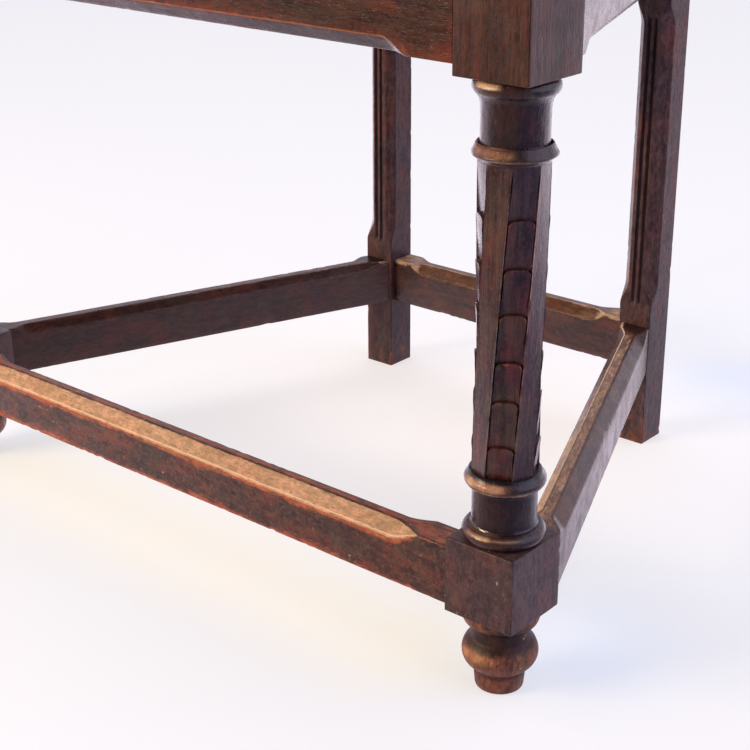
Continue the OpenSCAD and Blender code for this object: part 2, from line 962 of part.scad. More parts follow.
// Section that the moulded edge of the seat leaves free: [outwards, up] from the edge line.
edge_cut = [
  [-7, seat_t + 2], [-7, seat_t - 2], [-5.5, seat_t - 2], [-3.4, seat_t - 2.7],
  [-1.6, seat_t - 4.2], [-0.4, seat_t - 6.4], [0, seat_t - 9], [-0.4, seat_t - 11.6],
  [-1.6, seat_t - 13.8], [-3.4, seat_t - 15.4], [-5.5, seat_t - 16], [-5.5, -2],
  [9, -2], [9, seat_t + 2]
];

// Cutter for the moulding along the edge line from a to b.
module edge_cutter(a, b) {
  v = b - a;
  translate([a[0], a[1], seat_z])
    rotate([0, 0, atan2(v[1], v[0]) - 90])
      translate([0, -20, 0])
        rotate([90, 0, 180])
          linear_extrude(norm(v) + 40)
            mirror([1, 0])
              polygon(edge_cut);
}

module seat_body() {
  p = seat_edge(0);
  difference() {
    translate([0, 0, seat_z])
      linear_extrude(seat_t)
        polygon(concat(p, seat_back_edge));
    for (i = [0 : len(p) - 2])
      edge_cutter(p[i], p[i + 1]);
    for (s = [-1, 1])
      translate([s * front_x - half_s - notch_fit, -half_s - notch_fit, seat_z - 1])
        cube([block_s + 2 * notch_fit, block_s + 2 * notch_fit, seat_t + 2]);
    translate([-400, side_y1 - notch_fit, seat_z - 1])
      cube([400 - inner_x + notch_fit, 60, seat_t + 2]);
    translate([inner_x - notch_fit, side_y1 - notch_fit, seat_z - 1])
      cube([400 - inner_x, 60, seat_t + 2]);
    seat_peg_holes(fit);
  }
}

// One board of the seat, between two lines across it.
module seat_board(y0, y1) {
  color(oak_mid)
    translate([0, -mid_y, 0])
      intersection() {
        seat_body();
        translate([-400, y0, seat_z - 2])
          cube([800, y1 - y0, seat_t + 4]);
      }
}

module seat_board_front() {
  seat_board(-block_s - seat_over, joint_1);
}

module seat_board_middle() {
  seat_board(joint_1, joint_2);
}

module seat_board_back() {
  seat_board(joint_2, depth_y + post_s);
}

// Places of the pegs that hold the seat boards to the rails.
module seat_peg_places() {
  for (x = [-160, 160])
    translate([x, front_bar_y, 0])
      children();
  for (x = [-70, 70])
    translate([x, back_bar_y, 0])
      children();
  for (s = [0, 1])
    mirror([s, 0, 0])
      side_frame()
        for (t = [52, 108, 180, 300])
          translate([t, bar_t / 2, 0])
            children();
}

module seat_peg_holes(gap) {
  seat_peg_places()
    translate([0, 0, seat_z - peg_l - 1])
      cylinder(d = peg_d + 2 * gap, h = seat_t + 2 * peg_l);
}

module seat_pegs() {
  color(oak_red)
    translate([0, -mid_y, 0])
      seat_peg_places()
        translate([0, 0, seat_z - peg_l])
          cylinder(d = peg_d, h = seat_t + peg_l + peg_proud);
}

// Section of an arm: flat below, with its upper corners rounded over.
module arm_section(w) {
  r = 7;
  polygon(concat(
    [[-w / 2 + 2, 0], [w / 2 - 2, 0], [w / 2, 2]],
    [for (a = [0 : 15 : 90]) [w / 2 - r + r * cos(a), arm_t - r + r * sin(a)]],
    [for (a = [90 : 15 : 180]) [-w / 2 + r + r * cos(a), arm_t - r + r * sin(a)]],
    [[-w / 2, 2]]
  ));
}

// Half of the section of the round hand rest, a little thicker than the arm.
module hand_section() {
  r = 8;
  top = arm_t + 2.5;
  polygon(concat(
    [[0, -2.5], [hand_r - 4, -2.5], [hand_r, 1.5]],
    [for (a = [0 : 15 : 90]) [hand_r - r + r * cos(a), top - r + r * sin(a)]],
    [[0, top]]
  ));
}

module arm_tenon(gap) {
  raked()
    translate([
      back_x - ten_t / 2 - gap,
      -half_p - 2,
      (arm_z + 5 - seat_z) / cos(rake) + 1 - gap
    ])
      cube([ten_t + 2 * gap, 14 + (gap > 0 ? 1 : 0), arm_t - 10 + 2 * gap]);
}

module arm_body() {
  difference() {
    union() {
      translate([arm_m[0], arm_m[1], arm_z])
        rotate(hand_t)
          rotate_extrude(angle = arm_t1 - hand_t + back_turn)
            translate([arm_r, 0])
              arm_section(arm_w);
      translate([hand_c[0], hand_c[1], arm_z]) {
        rotate_extrude()
          hand_section();
        translate([0, 0, arm_t + 2.5])
          rotate_extrude()
            translate([15, 0])
              circle(d = 3);
      }
    }
    raked()
      translate([0, -half_p, 0])
        cube([300, 80, 400]);
    translate([front_x, 0, arm_z - 1])
      cylinder(r = arm_pin_r + fit, h = arm_pin_l + 2);
  }
  arm_tenon(0);
}

module arm_right() {
  color(oak_mid)
    translate([0, -mid_y, 0])
      arm_body();
}

module arm_left() {
  color(oak_mid)
    mirror([1, 0, 0])
      translate([0, -mid_y, 0])
        arm_body();
}

front_post_left();
front_post_right();
back_post_left();
back_post_right();
front_stretcher();
back_stretcher();
side_stretcher_left();
side_stretcher_right();
front_rail();
back_rail();
side_rail_left();
side_rail_right();
seat_board_front();
seat_board_middle();
seat_board_back();
seat_pegs();
arm_left();
arm_right();
back_rail_lower();
back_rail_middle();
back_rail_top();
back_panel_lower();
back_panel_upper();
crest();
finial_left();
finial_right();
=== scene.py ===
"""Looks of an oak caquetoire chair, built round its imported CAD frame.

All places are in the frame's own axes, +Z up and the sitter facing -Y. Shapes are
worked out in millimetres from the middle between the front posts, as the chair was
measured, and leave this file in metres with the frame's origin.
"""

import itertools
import json
import logging
import math
from dataclasses import dataclass, field
from enum import Enum, IntEnum
from typing import ClassVar

import bpy
import numpy as np
from mathutils import Matrix, Vector

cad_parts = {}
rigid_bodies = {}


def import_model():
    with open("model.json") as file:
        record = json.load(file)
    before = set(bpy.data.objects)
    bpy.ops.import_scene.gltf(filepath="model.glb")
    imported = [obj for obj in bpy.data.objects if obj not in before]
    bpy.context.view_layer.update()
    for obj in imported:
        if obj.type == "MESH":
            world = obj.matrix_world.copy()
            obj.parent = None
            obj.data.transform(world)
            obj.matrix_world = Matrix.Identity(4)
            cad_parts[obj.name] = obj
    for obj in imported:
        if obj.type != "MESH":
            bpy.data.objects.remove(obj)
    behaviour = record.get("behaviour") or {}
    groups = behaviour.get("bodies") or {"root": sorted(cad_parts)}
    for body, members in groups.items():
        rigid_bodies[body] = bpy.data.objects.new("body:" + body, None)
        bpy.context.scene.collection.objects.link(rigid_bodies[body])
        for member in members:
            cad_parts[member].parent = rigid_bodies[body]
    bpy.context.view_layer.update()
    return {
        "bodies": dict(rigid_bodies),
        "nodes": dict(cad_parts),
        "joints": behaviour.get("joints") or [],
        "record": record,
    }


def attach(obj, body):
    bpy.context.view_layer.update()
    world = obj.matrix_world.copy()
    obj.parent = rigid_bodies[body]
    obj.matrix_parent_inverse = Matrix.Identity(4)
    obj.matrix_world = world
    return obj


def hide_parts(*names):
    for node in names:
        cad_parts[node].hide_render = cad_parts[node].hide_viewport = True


log = logging.getLogger("chair")

MM = 0.001
# Sizes that several classes share, in mm. MID_Y is how far the front posts' centres
# lie in front of the frame's origin
MID_Y = 194.341
FRONT_X = 267.7
BACK_X = 136.4
DEPTH_Y = 375.4
BLOCK = 50.0
BLOCK_EASE = 0.7
POST = 29.0
# Columns round a turned piece, and the width of a rim that stands out and gets rubbed
COLUMNS = 112
RIM = 2.2
# Over this length at each end a slanting bar is slid along to meet its post
FADE = 40.0
# Angle in degrees past which a squared piece's edges are shaded sharp
BAR_SHARP = 42
# Attributes on a piece's points, from 0 to 1: rubbed wax and painted highlights,
# bare wood and painted highlight lines, and dirt and painted shade
MARKS = ("rub", "bare", "grime")
# How far the eased arrises of the kept nodes are rubbed
EDGE_RUB = 0.45

Array = np.ndarray
Pair = tuple[float, float]
Place = tuple[float, float, float]
Colour = tuple[float, float, float, float]
Socket = bpy.types.NodeSocket


def srgb(*levels: float) -> Colour:
    """Turns a colour as a screen shows it into the linear colour of a shader socket.

    Args:
        levels: Red, green and blue from 0 to 255.

    Returns:
        Linear red, green, blue and an alpha of 1.
    """
    parts = [c / 255 for c in levels]
    linear = [c / 12.92 if c <= 0.04045 else ((c + 0.055) / 1.055) ** 2.4 for c in parts]
    return (*linear, 1.0)


def unit(values: Array) -> Array:
    """Values held between 0 and 1."""
    return np.clip(values, 0.0, 1.0)


def smooth(t: Array) -> Array:
    """Smooth step: 3t^2 - 2t^3 of t held between 0 and 1."""
    t = unit(t)
    return t * t * (3.0 - 2.0 * t)


def near_ends(x: Array, length: float, first: float, last: float) -> Array:
    """Nearness to a bar's ends: 1 at an end, 0 past a distance from it.

    Args:
        x: Places along the bar in mm.
        length: Length of the bar in mm.
        first: Distance in mm over which the nearness to its start fades.
        last: Distance in mm over which the nearness to its end fades.

    Returns:
        Numbers from 0 to 1.
    """
    return unit(1 - x / first) + unit(1 - (length - x) / last)


def corner_random(corner: Array, seed: int) -> Array:
    """Gives each whole-number corner of a lattice its own number.

    Args:
        corner: Places, of shape (..., 3).
        seed: Number that sets one noise apart from another.

    Returns:
        Numbers from 0 to 1, by multiplying and folding the bits of the places.
    """
    h = np.bitwise_xor.reduce(corner * np.array([73856093, 19349663, 83492791]), axis=-1) ^ (seed * 40503 + 977)
    h = ((h ^ (h >> 13)) * 1274126177) & 0xFFFFFFFF
    h = ((h ^ (h >> 15)) * 668265263) & 0xFFFFFFFF
    return ((h ^ (h >> 16)) & 0xFFFFFF) / float(0xFFFFFF)


def value_noise(points: Array, size: float, seed: int) -> Array:
    """Value noise in space: corner numbers blended with the smooth step.

    Args:
        points: Places, of shape (..., 3).
        size: Size of a lattice cell.
        seed: Number that sets one noise apart from another.

    Returns:
        Numbers from 0 to 1, of shape (...).
    """
    q = points / size
    low = np.floor(q).astype(np.int64)
    f = smooth(q - low)
    total = np.zeros(points.shape[:-1])
    for corner in itertools.product((0, 1), repeat=3):
        weight = np.where(corner, f, 1 - f).prod(axis=-1)
        total += weight * corner_random(low + np.array(corner), seed)
    return total


def layered_noise(points: Array, size: float, seed: int, layers: int = 3) -> Array:
    """Sum of value noises, each half the size and half the strength of the last.

    Args:
        points: Places, of shape (..., 3).
        size: Cell size of the coarsest layer.
        seed: Number that sets one noise apart from another.
        layers: How many layers are added up.

    Returns:
        Numbers from 0 to 1, of shape (...).
    """
    total = np.zeros(points.shape[:-1])
    share = 1.0
    for k in range(layers):
        total += share * value_noise(points, size / 2**k, seed + 31 * k)
        share /= 2
    return total / (2.0 - 2.0 ** (1 - layers))


def new_object(name: str, data: bpy.types.ID) -> bpy.types.Object:
    """Puts a mesh, a camera or a light into the scene as an object."""
    obj = bpy.data.objects.new(name, data)
    bpy.context.scene.collection.objects.link(obj)
    return obj


@dataclass
class Surface:
    """A closed surface on a grid of rows and columns, with its marks of wear and dirt, which also carry painted
    highlights and painted shade.

    The columns run round the piece and close on themselves; the rows run along it,
    and the first and the last row are closed by a flat fan.
    """

    points: Array
    rub: Array
    bare: Array
    grime: Array

    @classmethod
    def plain(cls, points: Array) -> "Surface":
        """A surface with no wear yet, from its (rows, columns, 3) points in mm."""
        return cls(points, *np.zeros((3, *points.shape[:2])))

    def normals(self) -> Array:
        """Works out the outward direction at each point.

        Returns:
            Unit vectors: the cross product of the differences along the columns and
            the rows, turned away from the middle of each row.
        """
        p = self.points
        around = np.roll(p, -1, axis=1) - np.roll(p, 1, axis=1)
        along = np.gradient(p, axis=0)
        n = np.cross(around, along)
        n /= np.maximum(np.linalg.norm(n, axis=2, keepdims=True), 1e-9)
        away = p - p.mean(axis=1, keepdims=True)
        return n if float((n * away).sum()) > 0 else -n

    def weather(self, arris: Array, seed: int, swell: float, nick: float) -> None:
        """Takes a little off the surface, as a plane, the years and knocks do.

        Depth = swell x slow noise + nick x arris x bites, along the inward normal.
        The bites are the top of a finer noise, thinned out by a slow one, and they
        are marked as rubbed.

        Args:
            arris: 1 on an edge that takes knocks, 0 on a flat, on the grid or its rows.
            seed: Seed of the noises.
            swell: Depth in mm of the slow unevenness.
            nick: Depth in mm of the deepest bites.
        """
        p = self.points
        slow = layered_noise(p, 42.0, seed)
        bites = smooth((value_noise(p, 4.2, seed + 7) - 0.6) / 0.3)
        bites = bites * smooth((value_noise(p, 31.0, seed + 11) - 0.35) / 0.45)
        depth = swell * slow + nick * arris * bites
        self.points = p - self.normals() * depth[..., None]
        self.rub = unit(self.rub + 0.3 * arris * bites)

    def to_object(self, name: str, sharp: float) -> bpy.types.Object:
        """Makes the mesh object, in metres and in the frame's axes.

        Args:
            name: Name of the piece.
            sharp: Angle in degrees past which an edge is shaded sharp.

        Returns:
            The object, with its rub, bare and grime marks, which also carry painted highlights and painted shade,
            as attributes on its points.
        """
        rows, cols = self.points.shape[:2]
        p = self.points.reshape(-1, 3)
        ends = np.stack([self.points[0].mean(axis=0), self.points[-1].mean(axis=0)])
        p = (np.concatenate([p, ends]) - np.array([0.0, MID_Y, 0.0])) * MM
        r, c = np.meshgrid(np.arange(rows - 1), np.arange(cols), indexing="ij")
        nxt = (c + 1) % cols
        quads = np.stack([r * cols + c, r * cols + nxt, (r + 1) * cols + nxt, (r + 1) * cols + c], -1)
        quads = quads.reshape(-1, 4)
        ring, after, top = c[0], nxt[0], (rows - 1) * cols
        fans = np.concatenate([
            np.stack([np.full(cols, rows * cols), after, ring], -1),
            np.stack([np.full(cols, rows * cols + 1), top + ring, top + after], -1),
        ])
        tris = np.concatenate([quads[:, [0, 1, 2]], quads[:, [0, 2, 3]], fans])
        a, b, d = p[tris[:, 0]], p[tris[:, 1]], p[tris[:, 2]]
        if float(np.einsum("ij,ij->", a, np.cross(b, d))) < 0:
            quads, fans = quads[:, ::-1], fans[:, ::-1]
        mesh = bpy.data.meshes.new(name)
        mesh.from_pydata(p.tolist(), [], quads.tolist() + fans.tolist())
        for key in MARKS:
            grid = getattr(self, key)
            values = np.concatenate([grid.reshape(-1), [grid[0].mean(), grid[-1].mean()]])
            layer = mesh.attributes.new(key, "FLOAT", "POINT")
            layer.data.foreach_set("value", values.astype(np.float32))
        mesh.shade_smooth()
        mesh.set_sharp_from_angle(angle=math.radians(sharp))
        mesh.update()
        return new_object(name, mesh)


def ring_rows(profile: Array, section: Array, middle: Pair) -> Array:
    """Carries a section up a profile: point = middle + radius x section, height.

    Args:
        profile: Rows of [height, radius] in mm.
        section: Columns of [x, y] of a section with a radius of 1.
        middle: Place of the axis in mm.

    Returns:
        Points of shape (rows, columns, 3).
    """
    xy = profile[:, 1, None, None] * section[None] + np.asarray(middle)
    z = np.broadcast_to(profile[:, 0, None, None], (len(profile), len(section), 1))
    return np.concatenate([xy, z], axis=2)


def round_section(columns: int) -> Array:
    """Points of a circle of radius 1, evenly round."""
    a = np.linspace(0, 2 * math.pi, columns, endpoint=False)
    return np.stack([np.cos(a), np.sin(a)], -1)


def spaced(profile: Array, step: float) -> Array:
    """Adds points to a profile's long straight lengths.

    Args:
        profile: Rows of [height, radius] in mm.
        step: Longest distance between two rows, in mm.

    Returns:
        The profile with each length cut into even steps.
    """
    out = [profile[:1]]
    for a, b in zip(profile[:-1], profile[1:]):
        n = max(1, math.ceil(float(np.hypot(*(b - a))) / step))
        t = np.linspace(0, 1, n + 1)[1:, None]
        out.append(a + (b - a) * t)
    return np.concatenate(out)


def bead(z: float, radius: float, height: float, count: int = 13) -> Array:
    """Half-round bead: a half circle of that height, widest at the radius."""
    a = np.linspace(-math.pi / 2, math.pi / 2, count)
    return np.stack([z + height / 2 * np.sin(a), radius - height / 2 + height / 2 * np.cos(a)], -1)


def edge_of(profile: Array) -> Array:
    """Finds the parts of a profile that stand out and so get rubbed.

    Args:
        profile: Rows of [height, radius] in mm.

    Returns:
        For each row, how far its radius is over the mean of its neighbours, from 0 to 1.
    """
    z, r = profile[:, 0], profile[:, 1]
    near = np.exp(-(((z[:, None] - z[None]) / (3 * RIM)) ** 2))
    mean = (near * r[None]).sum(1) / near.sum(1)
    return unit((r - mean) / RIM)


class Grain(Enum):
    """Direction that a piece's grain runs in, as a vector in the frame."""

    UP = (0.0, 0.0, 1.0)
    ACROSS = (1.0, 0.0, 0.0)
    BACK = (0.0, 1.0, 0.0)
    RIGHT_SIDE = (-0.3878, 0.9218, 0.0)
    LEFT_SIDE = (0.3878, 0.9218, 0.0)
    LEANING = (0.0, 0.1045, 0.9945)

    def turn(self) -> Place:
        """Angles that bring this direction onto Z, for a Mapping node."""
        return tuple(Vector(self.value).rotation_difference(Vector((0, 0, 1))).to_euler())


@dataclass(frozen=True)
class OakFinish:
    """Colours and surface of one finish of old oak.

    The first four colours are mottled together; the next five are those of worn wood,
    where the rubbed and gilt ones also paint the highlights on turned rings and the last
    one is a painted highlight line; the last two are those of specks and of dirt, which
    also paints shade. The numbers are shares from 0 to 1, apart from the bump, in metres.
    """

    dark: Colour = srgb(40, 22, 20)
    mid: Colour = srgb(84, 50, 40)
    red: Colour = srgb(118, 52, 36)
    olive: Colour = srgb(84, 66, 42)
    rubbed: Colour = srgb(176, 92, 54)
    gilt: Colour = srgb(198, 150, 100)
    bare: Colour = srgb(222, 180, 146)
    ashen: Colour = srgb(158, 142, 106)
    fresh: Colour = srgb(242, 200, 162)
    speck: Colour = srgb(186, 158, 140)
    grime: Colour = srgb(14, 8, 10)
    redness: float = 0.4
    greenness: float = 0.3
    streaks: float = 0.35
    dabs: float = 0.25
    roughness: float = 0.25
    dull: float = 0.14
    shine: float = 0.25
    golden: float = 0.5
    worn: float = 0.0
    soft: float = 0.0
    specks: float = 0.0
    bump: float = 0.0003


FINISH = {
    # Its rubbed and gilt colours also paint the warm lamp's highlights on the rings
    "turned": OakFinish(
        dark=srgb(27, 17, 20), mid=srgb(56, 38, 39), red=srgb(88, 36, 29), olive=srgb(68, 55, 43),
        rubbed=srgb(176, 116, 82), gilt=srgb(240, 200, 150), roughness=0.1, dull=0.05, golden=0.9, redness=0.35,
        shine=0.34, soft=0.75,
    ),
    # Its grime colour also paints the shade in the grooves and at the scales' feet
    "shaft": OakFinish(
        dark=srgb(22, 12, 16), mid=srgb(78, 53, 53), red=srgb(112, 34, 28), olive=srgb(92, 74, 50),
        grime=srgb(36, 9, 12), roughness=0.16, golden=0.4, redness=0.45, greenness=0.45, shine=0.45, dabs=0.5,
        streaks=0.75,
    ),
    "block": OakFinish(
        dark=srgb(50, 36, 38), mid=srgb(86, 62, 60), red=srgb(122, 68, 58), olive=srgb(92, 80, 66), redness=0.3,
        specks=0.8, streaks=0.25, dabs=0.9, roughness=0.3, golden=0.3,
    ),
    "high_block": OakFinish(
        dark=srgb(34, 16, 12), mid=srgb(82, 44, 29), red=srgb(92, 38, 24), olive=srgb(84, 60, 36),
        streaks=0.6, roughness=0.3, golden=0.3, redness=0.25,
    ),
    "front": OakFinish(
        dark=srgb(42, 28, 28), mid=srgb(80, 54, 46), red=srgb(142, 70, 48), olive=srgb(96, 82, 60), redness=0.35,
        specks=0.7, streaks=0.25, dabs=1.0, roughness=0.32, golden=0.35, rubbed=srgb(190, 92, 52),
        bare=srgb(224, 178, 142), ashen=srgb(142, 126, 90),
    ),
    "rail": OakFinish(
        dark=srgb(34, 18, 15), mid=srgb(76, 42, 32), red=srgb(112, 44, 29), olive=srgb(74, 58, 36),
        rubbed=srgb(196, 104, 70), gilt=srgb(206, 144, 104), grime=srgb(30, 24, 32), redness=0.55, greenness=0.25,
        streaks=0.7, dabs=0.6, soft=0.8, shine=0.14,
    ),
    "bar": OakFinish(
        dark=srgb(36, 22, 21), mid=srgb(80, 49, 40), red=srgb(112, 54, 38), rubbed=srgb(156, 104, 70),
        gilt=srgb(186, 150, 108), golden=0.7, dabs=0.4, soft=0.45,
    ),
    # Its grime colour darkens the flutes and also paints the shade on the sides towards +X
    "leg": OakFinish(
        dark=srgb(52, 38, 40), mid=srgb(102, 78, 76), red=srgb(130, 70, 52), grime=srgb(22, 18, 28), golden=0.6,
        dabs=0.4, shine=0.08,
    ),
    "seat": OakFinish(dark=srgb(50, 30, 25), mid=srgb(96, 60, 45), red=srgb(116, 62, 42)),
    "panel": OakFinish(dark=srgb(42, 25, 23), mid=srgb(80, 50, 40), red=srgb(102, 52, 38)),
    "foot": OakFinish(
        dark=srgb(54, 30, 23), mid=srgb(136, 84, 64), red=srgb(168, 86, 60), olive=srgb(132, 104, 62),
        gilt=srgb(188, 150, 102), rubbed=srgb(166, 96, 64), redness=0.5, roughness=0.42, golden=0.9, worn=0.08,
        specks=0.5, dabs=0.9,
    ),
    "peg": OakFinish(dark=srgb(58, 38, 30), mid=srgb(104, 68, 50), red=srgb(116, 72, 50), roughness=0.5),
}


@dataclass
class Nodes:
    """A node tree with short ways to add nodes to it and join them."""

    tree: bpy.types.NodeTree

    def add(self, kind: str, inputs: dict | None = None, **settings: object) -> bpy.types.Node:
        """Adds a node.

        Args:
            kind: Blender's name of the node type, less its ShaderNode.
            inputs: Values or sockets for its inputs, by name or place.
            settings: Properties of the node.

        Returns:
            The node.
        """
        node = self.tree.nodes.new("ShaderNode" + kind)
        for key, value in settings.items():
            setattr(node, key, value)
        for key, value in (inputs or {}).items():
            self.feed(node.inputs[key], value)
        return node

    def feed(self, socket: Socket, value: object) -> None:
        """Links an output socket to an input, or sets the input's own value."""
        if isinstance(value, Socket):
            self.tree.links.new(value, socket)
        else:
            socket.default_value = value

    def math(self, operation: str, *values: object, clamp: bool = False) -> Socket:
        """Result of a Math node on one, two or three values."""
        return self.add("Math", dict(enumerate(values)), operation=operation, use_clamp=clamp).outputs[0]

    def times(self, first: object, second: object, clamp: bool = False) -> Socket:
        """Product of two values."""
        return self.math("MULTIPLY", first, second, clamp=clamp)

    def plus(self, first: object, second: object, clamp: bool = False) -> Socket:
        """Sum of two values."""
        return self.math("ADD", first, second, clamp=clamp)

    def step(self, value: object, low: float, high: float) -> Socket:
        """Smooth step of a value from 0 at low to 1 at high."""
        ends = {"Value": value, "From Min": low, "From Max": high}
        return self.add("MapRange", ends, interpolation_type="SMOOTHSTEP").outputs[0]

    def blend(self, share: object, first: object, second: object) -> Socket:
        """Colour that runs from first to second as share goes from 0 to 1."""
        # A Mix node's colours are its inputs 6 and 7 and its output 2. The type
        # comes first, because it sets which of them are in use
        node = self.add("Mix", data_type="RGBA")
        for key, value in ((0, share), (6, first), (7, second)):
            self.feed(node.inputs[key], value)
        return node.outputs[2]

    def noise(self, vector: object, scale: float, detail: float, rough: float) -> Socket:
        """Factor of a Noise Texture at a vector."""
        look = {"Vector": vector, "Scale": scale, "Detail": detail, "Roughness": rough}
        return self.add("TexNoise", look).outputs[0]

    def stretch(self, vector: object, share: float) -> Socket:
        """Vector with its Z multiplied, so that a pattern is drawn out along it."""
        return self.add("Mapping", {"Vector": vector, "Scale": (1.0, 1.0, share)}).outputs[0]

    def bend(self, vector: object, noise: bpy.types.Node, amount: Place) -> Socket:
        """Vector moved by a noise's colour times an amount along each axis."""
        moved = self.add("VectorMath", {0: noise.outputs["Color"], 1: amount}, operation="MULTIPLY").outputs[0]
        return self.add("VectorMath", {0: vector, 1: moved}, operation="ADD").outputs[0]

    def lay(self, colour: object, *coats: tuple[object, object]) -> Socket:
        """Lays coats, each a share and a colour, over a colour one after the other."""
        for share, coat in coats:
            colour = self.blend(share, colour, coat)
        return colour

    def mix(self, share: object, first: bpy.types.Node, second: bpy.types.Node) -> bpy.types.Node:
        """Shader that runs from first to second as share goes from 0 to 1."""
        return self.add("MixShader", {0: share, 1: first.outputs[0], 2: second.outputs[0]})

    def close(self, kind: str, shader: bpy.types.Node) -> None:
        """Joins a shader to the tree's output, a Material or World one."""
        self.add("Output" + kind, {"Surface": shader.outputs[0]})

    def give(self, outputs: dict[str, Socket]) -> bpy.types.NodeTree:
        """Ends a group: makes its outputs, all of them numbers, and feeds them."""
        for key in outputs:
            self.tree.interface.new_socket(key, in_out="OUTPUT", socket_type="NodeSocketFloat")
        sink = self.tree.nodes.new("NodeGroupOutput")
        for key, value in outputs.items():
            self.feed(sink.inputs[key], value)
        return self.tree


def new_group(name: str, *numbers: str) -> tuple[Nodes, bpy.types.NodeOutputs]:
    """Starts a shader node group that takes Vector and some numbers.

    Args:
        name: Name of the group.
        numbers: Names of the numbers that it takes.

    Returns:
        The group's nodes and the outputs of its input node.
    """
    tree = bpy.data.node_groups.new(name, "ShaderNodeTree")
    for key in ("Vector", *numbers):
        kind = "NodeSocketVector" if key == "Vector" else "NodeSocketFloat"
        tree.interface.new_socket(key, in_out="INPUT", socket_type=kind)
    return Nodes(tree), tree.nodes.new("NodeGroupInput").outputs


def new_tree(holder: bpy.types.Material | bpy.types.World) -> Nodes:
    """Empties the node tree of a new material or world."""
    holder.use_nodes = True
    holder.node_tree.nodes.clear()
    return Nodes(holder.node_tree)


